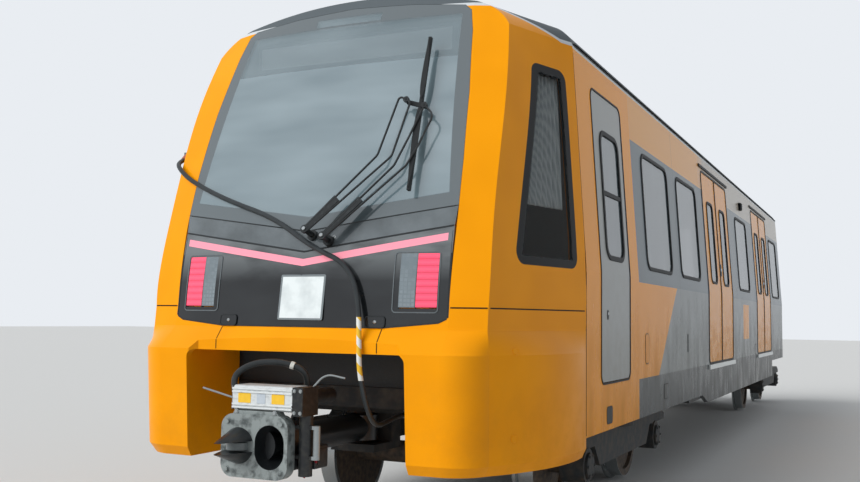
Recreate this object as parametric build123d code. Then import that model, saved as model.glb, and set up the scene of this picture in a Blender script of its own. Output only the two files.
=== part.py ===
from build123d import *
import os
from collections import namedtuple
from math import cos, radians, sin, tan

os.makedirs("parts", exist_ok=True)

# Leading car of a metro train: a bodyshell with a driver's cab in front, on its own bogie behind the cab
# and on half of a bogie that it shares with the next car at its inner end.
# Millimetres. +X is the car's left side, the cab faces -Y, +Z is up. The wheels' flanges stand at Z = 0.
# Stations run from the foot of the windscreen towards the inner end, heights from the top of the rail.

# Running gear, which sets where the rail and the two ends lie
FLANGE_DEPTH = 28.0
WHEEL_RADIUS = 370.0
WHEELBASE = 2100.0
FRONT_BOGIE = 3000.0
REAR_BOGIE = 12750.0
CONE_TIP = -600.0
FLANGE_RADIUS = WHEEL_RADIUS + FLANGE_DEPTH
REAR_TIP = REAR_BOGIE + WHEELBASE / 2 + FLANGE_RADIUS
NOSE = -(CONE_TIP + REAR_TIP) / 2

# Bodyshell section
HALF_WIDTH = 1325.0
BELT = 1660.0
CANTRAIL = 3040.0
CANTRAIL_HALF = 1235.0
WALL = 60.0
SKIRT_THICK = 40.0
FLOOR = 950.0
FLOOR_THICK = 120.0
FLOOR_LOW = FLOOR - FLOOR_THICK
SHOULDER_HALF = 1060.0
SHOULDER = 3177.0
SHOULDER_BULGE = (1169.0, 3136.0)
CROWN = 3320.0
MASK_JOINT = 1070.0
BODY_END = 12500.0

# Skirt: its lower edge along the car
SKIRT_FRONT = 660.0
SKIRT_CASES = 575.0
SKIRT_REAR = 800.0
CASES_START = 5000.0
CASES_STEP = 300.0
CASES_END = 10950.0

# Saloon windows and doorways, by station
WINDOW_SILL = 1750.0
WINDOW_HEAD = 2630.0
WINDOW_RADIUS = 95.0
GLASS_THICK = 12.0
GLASS_SETBACK = 3.0
SideWindow = namedtuple("SideWindow", "start width")
WINDOWS = [
    SideWindow(2730, 930),
    SideWindow(4050, 940),
    SideWindow(7630, 950),
    SideWindow(11150, 950),
]
DOORWAYS = [5410.0, 9240.0]
DOORWAY_HEAD = 2880.0
DOORWAY_WIDTH = 1600.0
DOORWAY_RADIUS = 60.0
LEAF_THICK = 45.0
LEAF_GAP = 5.0
LEAF_WINDOW_WIDTH = 360.0
LEAF_WINDOW_SILL = 1760.0
LEAF_WINDOW_HEAD = 2590.0
SILL_OUT = 18.0
SILL_HEIGHT = 45.0
SILL_DROP = 15.0
SILL_OVERLAP = 60.0

# Cab side door, hinged at its rear edge and opening inwards
CAB_DOOR_START = 1400.0
CAB_DOOR_WIDTH = 760.0
CAB_DOOR_HEAD = 2860.0
CAB_DOOR_RADIUS = 70.0
CAB_DOOR_GAP = 16.0
CAB_DOOR_WINDOW_INSET = 150.0
CAB_DOOR_WINDOW_WIDTH = 460.0
CAB_DOOR_WINDOW_SILL = 1760.0
CAB_DOOR_WINDOW_HEAD = 2600.0
HINGE_INSET = 150.0
HINGE_RADIUS = 14.0
HINGE_TOP_GAP = 60.0
HINGE_FOOT_GAP = 0.3
HINGE_STRAP = 90.0
HINGE_STRAPS = [1100.0, 1460.0]

# Nose above the seam: the arched glass front, a pillar each side, and a side facet back to the mask joint
SEAM = 1410.0
NOSE_TOP = CROWN + 80.0
NoseRow = namedtuple("NoseRow", "height glass_half glass_y crease_half crease_y")
NOSE_ROWS = [
    NoseRow(SEAM, 889, 40, 1091, 85),
    NoseRow(1820, 898, 100, 1088, 146),
    NoseRow(2220, 892, 202, 1080, 251),
    NoseRow(2620, 867, 332, 1069, 377),
    NoseRow(3020, 818, 487, 1023, 534),
    NoseRow(NOSE_TOP, 762, 655, 975, 705),
]
GLASS_BOW = 55.0
MASK_THICK = 50.0

# Roof rim of the nose, where it is narrower than the bodyshell
RIM_STATION = 400.0
RIM_CORNER = (960.0, 3052.0)
RIM_BULGE = (863.0, 3149.0)
RIM_SHOULDER = (714.0, 3238.0)

# Nose below the seam: the fairing row by row, from the bottom edge up to the seam.
# Each row runs from the middle over the flat front, the rounded corner and the side to the mask joint.
FairingRow = namedtuple(
    "FairingRow", "height front_y flat_x flat_y corner_x corner_y turn_x turn_y side_x side_y joint_half")
FAIRING_ROWS = [
    FairingRow(545, -35, 880, -25, 985, 15, 1065, 120, 1215, 420, 1300),
    FairingRow(600, -75, 890, -58, 1010, -18, 1095, 100, 1240, 410, 1325),
    FairingRow(1165, -115, 900, -98, 1025, -50, 1105, 70, 1245, 400, 1325),
    FairingRow(1293, -28, 889, 25, 991, 49, 1091, 74, 1210, 572, 1325),
    FairingRow(SEAM, 40 - GLASS_BOW, 889, 40, 991, 61, 1091, 85, 1210, 577, 1325),
]
FAIRING_THICK = 45.0
FAIRING_END = 410.0
BAY_HALF = 700.0
BAY_HEAD = 1160.0
BAY_FOOT = 540.0
BAY_RADIUS = 45.0
BAY_DEPTH = 900.0
BAR_FRONT = -66.0
BAR_HALF = 645.0
BAR_SLANT = 60.0
BUMPER_JOINT = 520.0
LEG_WALL_START = -150.0
LEG_WALL_END = 700.0
SHELF_DEPTH = 250.0
SHELF_THICK = 30.0
SHELF_LAP = 20.0

# Black front, seen from ahead as half outlines of (half width, height)
PANEL_APEX = 1717.0
PANEL_RISE = 133.0
PANEL_HALF = 889.0
PANEL_BOTTOM = 1300.0
PANEL_BOTTOM_HALF = 523.0
PANEL_LOW_CORNER = (880.0, 1352.0)
PANEL_LOW_BEND = (835.0, 1330.0)
PANEL_SIDE = (888.0, 1430.0)
COWL_HEIGHT = 118.0
COWL_RISE = 110.0
SCREEN_LOW_HALF = 898.0
SCREEN_TOP_CORNER = (785.0, 3165.0)
SCREEN_TOP_ROUND = (740.0, 3203.0)
SCREEN_TOP_SIDE = (420.0, 3240.0)
SCREEN_TOP_APEX = 3262.0
FRONT_GLASS = 16.0
FRONT_GAP = 4.0
REBATE = 45.0
SEAT_GAP = 0.3
LAMP_DROP = 18.0
LAMP_HEIGHT = 295.0
LAMP_LOW = PANEL_APEX - LAMP_DROP - LAMP_HEIGHT
TAIL_LAMP = (701.0, 820.0)
HEAD_LAMP = (604.0, 697.0)
STRIP_HALF = 857.0
STRIP_DROP = 61.0
STRIP_HEIGHT = 40.0

# Cab side window, seen from the side: (station, height) corners
CAB_WINDOW = [(665.0, 2850.0), (975.0, 2850.0), (975.0, 1655.0), (325.0, 1655.0)]
CAB_WINDOW_RADIUS = 70.0

# Gangway at the inner end, with this car's half of the bellows
GANGWAY_HALF = 600.0
GANGWAY_HEAD = 2950.0
GANGWAY_RADIUS = 90.0
BELLOWS_FOLDS = 5
BELLOWS_FOLD = 46.0
BELLOWS_DEPTH = 45.0
BELLOWS_WALL = 30.0
BELLOWS_MARGIN = 150.0
BELLOWS_FOOT = 70.0
BELLOWS_HEAD = 100.0

# Underframe
FLOOR_START = 1070.0
CAB_FLOOR_START = 420.0
CAB_FLOOR_HALF = 950.0
HEADSTOCK_HALF = 450.0
HEADSTOCK_FRONT = 630.0
HEADSTOCK_BACK = 980.0
BRACKET_HALF = 150.0
BRACKET_TOP = 785.0
BRACKET_LIP = 105.0
BRACKET_REACH = 240.0
BRACKET_WEB = 120.0
BRACKET_GAP = 20.0
PIVOT_LOW = 430.0
END_BOLSTER_HALF = 420.0
END_BOLSTER_THICK = 60.0
END_BOLSTER_START = 12200.0
END_BOLSTER_END = 12850.0

# Saloon and cab fittings, by station
PARTITION = 2300.0
PARTITION_THICK = 40.0
PASSAGE_HALF = 330.0
PASSAGE_HEAD = 2900.0
PASSAGE_RECESS = 10.0
CEILING = 2960.0
CEILING_THICK = 25.0
CEILING_START = 1270.0
DESK_HALF = 780.0
DESK_PROFILE = [
    (470, FLOOR), (470, 1560), (560, 1620), (760, 1560),
    (900, 1480), (900, 1430), (780, 1380), (780, FLOOR),
]
SEAT_PLACE = 1500.0
SEAT_HEIGHT = 480.0
CUSHION_THICK = 100.0
CUSHION_HALF = 240.0
SEAT_COLUMN = 70.0
SEAT_FOOT = 180.0
SEAT_FOOT_THICK = 30.0
BACKREST_HALF = 225.0
BACKREST_THICK = 70.0
BACKREST_LEAN = 90.0
BACKREST_TOP = 1120.0
Bench = namedtuple("Bench", "start length")
BENCHES = [Bench(2450, 2800), Bench(7080, 2080), Bench(10920, 1380)]
BENCH_FOOT = 380.0
BENCH_DEPTH = 480.0
BENCH_REACH = 5.0
BENCH_EDGE = 340.0
BENCH_TOP = 440.0
BENCH_BACK = 110.0
BENCH_HEAD = 760.0
POLES = [5330.0, 7060.0, 9180.0, 10880.0]
POLE_HALF = 700.0
POLE_RADIUS = 18.0

# Equipment under the floor and on the roof. A roof unit's rise is its top above the crown of the roof.
Case = namedtuple("Case", "start length half low")
CASES = [
    Case(5250, 1500, 1150, 560),
    Case(6850, 900, 1000, 600),
    Case(7850, 1700, 1150, 540),
    Case(9650, 1100, 1050, 600),
]
RoofUnit = namedtuple("RoofUnit", "start length half rise")
ROOF_UNITS = [
    RoofUnit(2450, 1700, 620, 75),
    RoofUnit(5000, 2600, 760, 97),
    RoofUnit(8600, 1500, 620, 75),
    RoofUnit(10500, 1300, 500, 75),
]

# Wheels and axles, by distance from the middle of the track
TREAD_OUTER = 815.0
TREAD_INNER = 712.0
FLANGE_INNER = 680.0
FLANGE_EDGE = 702.0
RIM_DEPTH = 60.0
DISH = 30.0
AXLE_RADIUS = 80.0
JOURNAL_RADIUS = 62.0
JOURNAL_END = 1090.0

# Bogie frames
SIDE_BEAM = 1000.0
BEAM_WIDTH = 150.0
BEAM_TOP = 590.0
BEAM_TIP = 530.0
BEAM_DEPTH = 110.0
BEAM_BELLY = 330.0
BEAM_END = 1440.0
BEAM_SHOULDER = 190.0
BEAM_KNEE = 330.0
AXLE_BOX_RADIUS = 120.0
AXLE_BOX_WIDTH = 170.0
PEDESTAL_WIDTH = 140.0
PEDESTAL_LENGTH = 180.0
BEARING_CLEAR = 0.1
CROSS_HALF = 280.0
CROSS_LOW = 430.0
SPRING_X = 900.0
SPRING_SINK = 40.0
AIR_SPRING_RADIUS = 240.0
JACOBS_SPRING_RADIUS = 190.0
JACOBS_SPRING_PITCH = 400.0
BOGIE_CLEAR = 0.5
MOTOR_RADIUS = 205.0
MOTOR_LENGTH = 560.0
MOTOR_PLACE = 430.0
MOTOR_RISE = 60.0
MOTOR_ARM_HALF = 120.0
MOTOR_ARM_TOP = 550.0
PIVOT_RADIUS = 90.0
PIVOT_CLEAR = 5.0

# Coupler: a face plate with a cone on the car's right and a cup on its left
COUPLER_HEIGHT = 686.0
COUPLER_FACE = -410.0
COUPLER_PIVOT = 720.0
FACE_WIDTH = 410.0
FACE_HEIGHT = 324.0
FACE_RADIUS = 70.0
FACE_THICK = 70.0
CONE_SIDE = 95.0
CONE_RADIUS = 94.0
CONE_NOSE = 30.0
HOOK_SLOT = 56.0
HOOK_RADIUS = 62.0
HOOK_THICK = 36.0
CUP_WIDTH = 178.0
CUP_HEIGHT = 226.0
CUP_DEPTH = 160.0
CUP_END = 0.55
HEAD_HALF = 180.0
HEAD_WAIST = 100.0
HEAD_LENGTH = 380.0
HEAD_TAPER = 260.0
HEAD_LOW = 120.0
HEAD_TOP = 110.0
SHANK_RADIUS = 85.0
EYE_RADIUS = 105.0
EYE_THICK = 150.0
COUPLER_PIN = 45.0
COUPLER_PIN_CLEAR = 0.1
LUG_HALF = 130.0
LUG_SLOPE = 30.0

# Electric coupler above the face, the gear beside it and the hose over it
ELECTRIC_RIGHT = -146.0
ELECTRIC_LEFT = 221.0
ELECTRIC_LOW = 866.0
ELECTRIC_TOP = 995.0
ELECTRIC_SETBACK = 10.0
ELECTRIC_DEPTH = 150.0
ELECTRIC_RADIUS = 30.0
RIB_OUT = 7.0
RIB_HEIGHT = 9.0
RIBS = [878.0, 894.0, 958.0, 974.0]
HOUSING_LENGTH = 62.0
HOUSING_LOW = 850.0
CRANK_RADIUS = 36.0
CRANK_FOOT = 545.0
CRANK_SIDE = 258.0
CRANK_STATION = -320.0
DAMPER_RADIUS = 18.0
DAMPER_SIDE = 322.0
DAMPER_LOW = 630.0
DAMPER_TOP = 800.0
ACTUATOR_RADIUS = 42.0
ACTUATOR_LENGTH = 340.0
ACTUATOR_SIDE = 150.0
ACTUATOR_HEIGHT = 925.0
LEVER_RADIUS = 5.0
RIGHT_LEVER = [(-146, -370, 922), (-340, -398, 972)]
LEFT_LEVER = [(262, -280, 985), (330, -262, 1062), (440, -250, 1042)]
HOSE_RADIUS = 17.0
HOSE_GLAND = 25.0
HOSE_RUN = [
    (-165, -335, 915), (-205, -320, 1000), (-195, -285, 1090), (-110, -235, 1148), (0, -185, 1150),
    (85, -145, 1098), (90, -108, 1012), (64, -85, 915), (45, -90, 815),
]

# Wiper, in the plane it sweeps: x to the car's left, y up along the glass, from its datum on the cowl
WIPER_X = 10.0
WIPER_RISE = 95.0
WIPER_TILT = 18.3
WIPER_STAND = 86.0
ARM_PIVOT = (35.0, -5.0)
ARM_PITCH = (110.0, -35.0)
BLADE_PIVOT = (530.0, 772.0)
ROD_RADIUS = 6.0
ROD_BEND = 60.0
HUB_RADIUS = 24.0
HUB_THICK = 14.0
MAIN_LAYER = 9.0
SECOND_LAYER = -9.0
TIP_RADIUS = 18.0
WIPER_PIN = 10.0
TIP_PIN = 7.0
PIN_CLEAR = 0.1
PIN_HEAD = 2.0
POST_RADIUS = 16.0
POST_BASE = 30.0
POST_GAP = 2.0
MAIN_RODS = [
    [(18, -12), (411, 430), (484, 798), BLADE_PIVOT],
    [(55, -12), (501, 419), (558, 752), BLADE_PIVOT],
]
SECOND_RODS = [
    [(130, -48), (516, 369), (578, 543), (640, 737)],
    [(160, -48), (590, 364), (647, 495), (706, 672), (640, 737)],
]
BLADE_TOP = (594.0, 1200.0)
BLADE_FOOT = (620.0, 224.0)
BLADE_WIDTH = 18.0
BLADE_BACK = 43.0
BLADE_FACE = 21.0
CARRIER_WIDTH = 26.0
CARRIER_BACK = 29.0
CARRIER_FACE = 20.0

# Cable over the front, from a socket behind the right crease to a socket on the headstock
CABLE_RADIUS = 14.0
CABLE_RUN = [
    (-1150, 400, 2370), (-1135, 310, 2335), (-1085, 230, 2288), (-960, 183, 2198), (-760, 134, 2106),
    (-530, 92, 2018), (-320, 62, 1951), (-150, 34, 1874), (-10, 2, 1789), (130, -9, 1714), (262, -13, 1662),
    (352, -24, 1560), (394, -42, 1415), (424, -84, 1242), (434, -98, 1085), (462, -84, 925), (470, -20, 812),
    (438, 122, 766), (412, 290, 778), (405, 430, 795), (405, 540, 795),
]
SOCKET_LENGTH = 80.0
SOCKET_HALF = 40.0
SOCKET_OUT = 28.0
SOCKET_DEPTH = 100.0
FOOT_SOCKET_HALF = 25.0

# Longer than any cut has to reach
BIG = 4000.0
FRONT_REACH = 300.0
CUT_DEPTH = 900.0


def at(station):
    """Y of a station."""
    return NOSE + station


def up(height):
    """Z of a height above the rail."""
    return FLANGE_DEPTH + height


def place(point):
    """Model coordinates of (x, station, height)."""
    x, station, height = point
    return (x, at(station), up(height))


def box(x0, x1, y0, y1, z0, z1):
    """Box between two corners, in X, stations and heights."""
    middle = Pos((x0 + x1) / 2, at((y0 + y1) / 2), up((z0 + z1) / 2))
    return middle * Box(x1 - x0, y1 - y0, z1 - z0)


def section_prism(points, start, end):
    """Polygon of (x, height) swept along the car between two stations."""
    face = Face(Wire.make_polygon([place((x, start, h)) for x, h in points], close=True))
    return extrude(face, amount=end - start, dir=(0, 1, 0))


def side_prism(points, start, end):
    """Polygon of (station, height) swept across the car between two values of X."""
    face = Face(Wire.make_polygon([place((start, s, h)) for s, h in points], close=True))
    return extrude(face, amount=end - start, dir=(1, 0, 0))


def plan_prism(points, low, high):
    """Polygon of (x, station) swept upwards between two heights."""
    face = Face(Wire.make_polygon([place((x, s, low)) for x, s in points], close=True))
    return extrude(face, amount=high - low, dir=(0, 0, 1))


def side_slab(start, end, low, high, radius):
    """Rounded rectangle seen from the side, swept across the left half of the car."""
    middle = Pos(at((start + end) / 2), up((low + high) / 2))
    return extrude(Plane.YZ * middle * RectangleRounded(end - start, high - low, radius), amount=BIG)


def front_slab(half, low, high, radius, start, end):
    """Rounded rectangle seen from ahead, swept along the car between two stations."""
    middle = Pos(0, up((low + high) / 2))
    outline = Plane.XZ.offset(-at(start)) * middle * RectangleRounded(2 * half, high - low, radius)
    return extrude(outline, amount=end - start, dir=(0, 1, 0))


def rod(radius, start, end):
    """Cylinder between two points in model coordinates."""
    way = Vector(*end) - Vector(*start)
    plane = Plane(origin=tuple(start), z_dir=tuple(way))
    return plane * Cylinder(radius, way.length, align=(Align.CENTER, Align.CENTER, Align.MIN))


def mirrored(shape):
    """The same piece on the other side of the car."""
    return mirror(shape, about=Plane.YZ)


def both(shape):
    """A piece and its mirror image, as one shape."""
    return Compound(children=[*shape.solids(), *mirrored(shape).solids()])


def together(*shapes):
    """Several solids that share a node."""
    return Compound(children=[s for shape in shapes for s in shape.solids()])


def tube(corners, radius, largest=BIG):
    """Round bar or hose along straight runs joined by arcs, each arc as large as its two runs allow."""
    corners = [Vector(*corner) for corner in corners]
    if len(corners) == 2:
        return rod(radius, *corners)
    radii = []
    for before, corner, after in zip(corners, corners[1:], corners[2:]):
        turn = (corner - before).get_angle(after - corner)
        shorter = min((corner - before).length, (after - corner).length)
        radii.append(min(0.45 * shorter / tan(radians(turn) / 2), largest))
    path = FilletPolyline(*corners, radius=radii)
    print("tube length", round(path.length), "smallest bend", round(min(radii)))
    return sweep(Plane(origin=path @ 0, z_dir=path % 0) * Circle(radius), path=path)


# Bodyshell

def side_layer(outer, inner, start, end, low=FLOOR_LOW):
    """Layer of the left side wall between two depths under its outer face, up to the cantrail."""
    points = [
        (HALF_WIDTH - outer, low),
        (HALF_WIDTH - outer, BELT),
        (CANTRAIL_HALF - outer, CANTRAIL),
        (CANTRAIL_HALF - inner, CANTRAIL),
        (HALF_WIDTH - inner, BELT),
        (HALF_WIDTH - inner, low),
    ]
    return section_prism(points, start, end)


def roof_face(station, thick):
    """Face inside the roof arch at a depth under its outer line, closed level with the cantrail."""
    low = place((CANTRAIL_HALF - thick, station, CANTRAIL))
    bulge = place((SHOULDER_BULGE[0] - thick * 0.9, station, SHOULDER_BULGE[1] - thick * 0.5))
    shoulder = place((SHOULDER_HALF - thick * 0.8, station, SHOULDER - thick * 0.85))
    crown = place((0, station, CROWN - thick))
    flip_low, flip_bulge, flip_shoulder = [(-x, y, z) for x, y, z in (low, bulge, shoulder)]
    return Face(Wire([
        Edge.make_three_point_arc(low, bulge, shoulder),
        Edge.make_three_point_arc(shoulder, crown, flip_shoulder),
        Edge.make_three_point_arc(flip_shoulder, flip_bulge, flip_low),
        Edge.make_line(flip_low, low),
    ]))


def roof_block(thick, start, end):
    """Everything under the roof arch and above the cantrail between two stations."""
    return extrude(roof_face(start, thick), amount=end - start, dir=(0, 1, 0))


def inside(start, end):
    """Everything inside the bodyshell between two stations, from the floor to the roof lining."""
    half = [
        (HALF_WIDTH - WALL, FLOOR),
        (HALF_WIDTH - WALL, BELT),
        (CANTRAIL_HALF - WALL, CANTRAIL),
    ]
    lower = [*half, *[(-x, h) for x, h in reversed(half)]]
    return section_prism(lower, start, end) + roof_block(WALL, start, end)


def body_side():
    """Left side wall with its skirt, window, doorway and cab door openings."""
    skirt_edge = [
        (MASK_JOINT, SKIRT_FRONT),
        (CASES_START, SKIRT_FRONT),
        (CASES_START + CASES_STEP, SKIRT_CASES),
        (CASES_END, SKIRT_CASES),
        (CASES_END, SKIRT_REAR),
        (BODY_END, SKIRT_REAR),
        (BODY_END, FLOOR_LOW),
        (MASK_JOINT, FLOOR_LOW),
    ]
    shell = side_layer(0, WALL, MASK_JOINT, BODY_END)
    shell += side_prism(skirt_edge, HALF_WIDTH - SKIRT_THICK, HALF_WIDTH)
    for window in WINDOWS:
        end = window.start + window.width
        shell -= side_slab(window.start, end, WINDOW_SILL, WINDOW_HEAD, WINDOW_RADIUS)
    for start in DOORWAYS:
        shell -= side_slab(start, start + DOORWAY_WIDTH, FLOOR, DOORWAY_HEAD, DOORWAY_RADIUS)
    cab_door_end = CAB_DOOR_START + CAB_DOOR_WIDTH
    return shell - side_slab(CAB_DOOR_START, cab_door_end, FLOOR, CAB_DOOR_HEAD, CAB_DOOR_RADIUS)


def side_glass():
    """Panes of the left saloon windows."""
    layer = side_layer(GLASS_SETBACK, GLASS_SETBACK + GLASS_THICK, MASK_JOINT, BODY_END)
    return together(*[
        layer & side_slab(w.start, w.start + w.width, WINDOW_SILL, WINDOW_HEAD, WINDOW_RADIUS)
        for w in WINDOWS
    ])


def leaf_outlines():
    """Where each door leaf of the left side lies: start and end station of the leaf, and of its window."""
    half = DOORWAY_WIDTH / 2
    for start in DOORWAYS:
        for leaf in (start, start + half):
            middle = leaf + half / 2
            window = LEAF_WINDOW_WIDTH / 2
            yield leaf + LEAF_GAP, leaf + half - LEAF_GAP, middle - window, middle + window


def passenger_doors():
    """Leaves of the left plug doors, standing on the door sills, with their windows cut."""
    layer = side_layer(0, LEAF_THICK, MASK_JOINT, BODY_END)
    leaves = []
    for start, end, window_start, window_end in leaf_outlines():
        leaf = layer & side_slab(start, end, FLOOR, DOORWAY_HEAD - LEAF_GAP, DOORWAY_RADIUS - LEAF_GAP)
        hole = side_slab(window_start, window_end, LEAF_WINDOW_SILL, LEAF_WINDOW_HEAD, WINDOW_RADIUS)
        leaves.append(leaf - hole)
    return together(*leaves)


def door_glass():
    """Panes of the left door leaves."""
    layer = side_layer(GLASS_SETBACK, GLASS_SETBACK + GLASS_THICK, MASK_JOINT, BODY_END)
    return together(*[
        layer & side_slab(start, end, LEAF_WINDOW_SILL, LEAF_WINDOW_HEAD, WINDOW_RADIUS)
        for _, _, start, end in leaf_outlines()
    ])


def cab_door_parts():
    """Left cab door leaf with its hinge barrel and straps, and its glass."""
    start = CAB_DOOR_START + CAB_DOOR_GAP
    end = CAB_DOOR_START + CAB_DOOR_WIDTH - CAB_DOOR_GAP
    window = start + CAB_DOOR_WINDOW_INSET
    low, high = FLOOR + CAB_DOOR_GAP, CAB_DOOR_HEAD - CAB_DOOR_GAP
    outline = side_slab(start, end, low, high, CAB_DOOR_RADIUS - CAB_DOOR_GAP)
    hole = side_slab(
        window, window + CAB_DOOR_WINDOW_WIDTH, CAB_DOOR_WINDOW_SILL, CAB_DOOR_WINDOW_HEAD, WINDOW_RADIUS)
    leaf = (side_layer(0, WALL, start, end) & outline) - hole
    axis = HALF_WIDTH - HINGE_INSET
    barrel = end - HINGE_RADIUS
    barrel_foot = place((axis, barrel, FLOOR + HINGE_FOOT_GAP))
    barrel_top = place((axis, barrel, CAB_DOOR_HEAD - HINGE_TOP_GAP))
    leaf += rod(HINGE_RADIUS, barrel_foot, barrel_top)
    strap_start, strap_end = end - 2 * HINGE_RADIUS, end - HINGE_RADIUS / 2
    for foot in HINGE_STRAPS:
        leaf += box(axis, HALF_WIDTH - WALL / 2, strap_start, strap_end, foot, foot + HINGE_STRAP)
    return leaf, side_layer(GLASS_SETBACK, GLASS_SETBACK + GLASS_THICK, start, end) & hole


def roof():
    """Roof arch from the mask joint to the inner end, standing on the side walls."""
    return roof_block(0, MASK_JOINT, BODY_END) - roof_block(WALL, MASK_JOINT, BODY_END)


def end_wall():
    """Inner end wall with the gangway opening."""
    start, end = BODY_END - 2 * WALL, BODY_END + WALL
    hole = front_slab(GANGWAY_HALF, FLOOR, GANGWAY_HEAD, GANGWAY_RADIUS, start, end)
    return inside(BODY_END - WALL, BODY_END) - hole


def bellows_ring(start, grow, wall):
    """One fold's frame round the gangway, grown outwards from the valleys of the bellows."""
    half = GANGWAY_HALF + BELLOWS_MARGIN + grow
    low = FLOOR - BELLOWS_FOOT - grow
    high = GANGWAY_HEAD + BELLOWS_HEAD + grow
    radius = BELLOWS_MARGIN + grow
    end = start + BELLOWS_FOLD / 2
    return (front_slab(half, low, high, radius, start, end)
            - front_slab(half - wall, low + wall, high - wall, radius - wall, start, end))


def gangway_bellows():
    """This car's half of the folded gangway bellows, valleys and ridges in turn."""
    shape = bellows_ring(BODY_END, 0, BELLOWS_WALL)
    for fold in range(BELLOWS_FOLDS):
        start = BODY_END + fold * BELLOWS_FOLD
        if fold:
            shape += bellows_ring(start, 0, BELLOWS_WALL)
        shape += bellows_ring(start + BELLOWS_FOLD / 2, BELLOWS_DEPTH, BELLOWS_WALL + BELLOWS_DEPTH)
    return shape


def door_sills():
    """Step edges under the left doorways."""
    top = FLOOR - SILL_DROP
    return together(*[
        box(HALF_WIDTH, HALF_WIDTH + SILL_OUT, start - SILL_OVERLAP, start + DOORWAY_WIDTH + SILL_OVERLAP,
            top - SILL_HEIGHT, top)
        for start in DOORWAYS
    ])


# Nose

def mirrored_wire(points, y_middle, arcs):
    """Closed plan outline at one height, from its left points, front to joint, with an arched front."""
    flip = [(-x, y, z) for x, y, z in points]
    front = points[0]
    edges = [Edge.make_three_point_arc(flip[0], (0, y_middle, front[2]), front)]
    back = []
    if arcs:
        for first, middle, last in ((0, 1, 2), (2, 3, 4)):
            edges.append(Edge.make_three_point_arc(points[first], points[middle], points[last]))
            back.append(Edge.make_three_point_arc(flip[last], flip[middle], flip[first]))
    else:
        for first, last in zip(range(len(points)), range(1, len(points))):
            edges.append(Edge.make_line(points[first], points[last]))
            back.append(Edge.make_line(flip[last], flip[first]))
    edges.append(Edge.make_line(points[-1], flip[-1]))
    return Wire([*edges, *reversed(back)])


def nose_wire(row, inset):
    """Plan outline of the nose above the seam at one row, moved inwards by inset."""
    z = up(row.height)
    lean = max((row.height - BELT) / (CANTRAIL - BELT), 0.0)
    joint = HALF_WIDTH - (HALF_WIDTH - CANTRAIL_HALF) * lean - inset
    glass = (row.glass_half - 0.15 * inset, at(row.glass_y) + inset, z)
    crease = (row.crease_half - 0.8 * inset, at(row.crease_y) + 0.95 * inset, z)
    return mirrored_wire([glass, crease, (joint, at(MASK_JOINT), z)], glass[1] - GLASS_BOW, arcs=False)


def cap_wire(station, corner, bulge, shoulder, inset):
    """Outline across the car that trims the nose under its roof rim."""
    a = place((corner[0] - inset, station, corner[1] - inset * 0.5))
    b = place((bulge[0] - inset * 0.9, station, bulge[1] - inset * 0.8))
    c = place((shoulder[0] - inset * 0.5, station, shoulder[1] - inset))
    crown = place((0, station, CROWN - inset))
    low = (2 * HALF_WIDTH, a[1], 0)
    high = (2 * HALF_WIDTH, a[1], a[2])
    flip_a, flip_b, flip_c, flip_low, flip_high = [(-x, y, z) for x, y, z in (a, b, c, low, high)]
    return Wire([
        Edge.make_line(low, high),
        Edge.make_line(high, a),
        Edge.make_three_point_arc(a, b, c),
        Edge.make_three_point_arc(c, crown, flip_c),
        Edge.make_three_point_arc(flip_c, flip_b, flip_a),
        Edge.make_line(flip_a, flip_high),
        Edge.make_line(flip_high, flip_low),
        Edge.make_line(flip_low, low),
    ])


def nose_solid(inset):
    """Nose above the seam, filled, moved inwards by inset. Only the outer face is smooth between rows."""
    body = Solid.make_loft([nose_wire(row, inset) for row in NOSE_ROWS], ruled=inset > 0)
    cap = Solid.make_loft([
        cap_wire(-RIM_STATION, RIM_CORNER, RIM_BULGE, RIM_SHOULDER, inset),
        cap_wire(RIM_STATION, RIM_CORNER, RIM_BULGE, RIM_SHOULDER, inset),
        cap_wire(MASK_JOINT, (CANTRAIL_HALF, CANTRAIL), SHOULDER_BULGE, (SHOULDER_HALF, SHOULDER), inset),
    ], ruled=True)
    return body & cap


def fairing_wire(row, inset):
    """Plan outline of the fairing below the seam at one row, moved inwards by inset."""
    z = up(row.height)
    points = [
        (row.flat_x - 0.2 * inset, at(row.flat_y) + inset, z),
        (row.corner_x - 0.7 * inset, at(row.corner_y) + 0.7 * inset, z),
        (row.turn_x - 0.9 * inset, at(row.turn_y) + 0.45 * inset, z),
        (row.side_x - 0.98 * inset, at(row.side_y) + 0.2 * inset, z),
        (row.joint_half - inset, at(MASK_JOINT), z),
    ]
    return mirrored_wire(points, at(row.front_y) + inset, arcs=True)


def fairing_solid(inset):
    """Nose below the seam, filled, moved inwards by inset."""
    return Solid.make_loft([fairing_wire(row, inset) for row in FAIRING_ROWS], ruled=True)


COWL_APEX = PANEL_APEX + COWL_HEIGHT
PANEL_TOP = (PANEL_HALF, PANEL_APEX + PANEL_RISE)
SCREEN_LOW = (SCREEN_LOW_HALF, PANEL_APEX + PANEL_RISE + COWL_RISE)
SCREEN_SIDES = [(row.glass_half, row.height) for row in reversed(NOSE_ROWS[2:5])]
SCREEN_OUTLINE = [
    (0, SCREEN_TOP_APEX), SCREEN_TOP_SIDE, SCREEN_TOP_ROUND, SCREEN_TOP_CORNER, *SCREEN_SIDES, SCREEN_LOW,
    (0, COWL_APEX),
]
COWL_OUTLINE = [(0, COWL_APEX), SCREEN_LOW, PANEL_TOP, (0, PANEL_APEX)]
PANEL_OUTLINE = [
    (0, PANEL_APEX), PANEL_TOP, PANEL_SIDE,
    PANEL_LOW_CORNER, PANEL_LOW_BEND, (PANEL_BOTTOM_HALF, PANEL_BOTTOM),
    (0, PANEL_BOTTOM),
]
BLACK_OUTLINE = [*SCREEN_OUTLINE[:-1], (SCREEN_LOW_HALF, PANEL_TOP[1]), *PANEL_OUTLINE[2:]]
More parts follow.
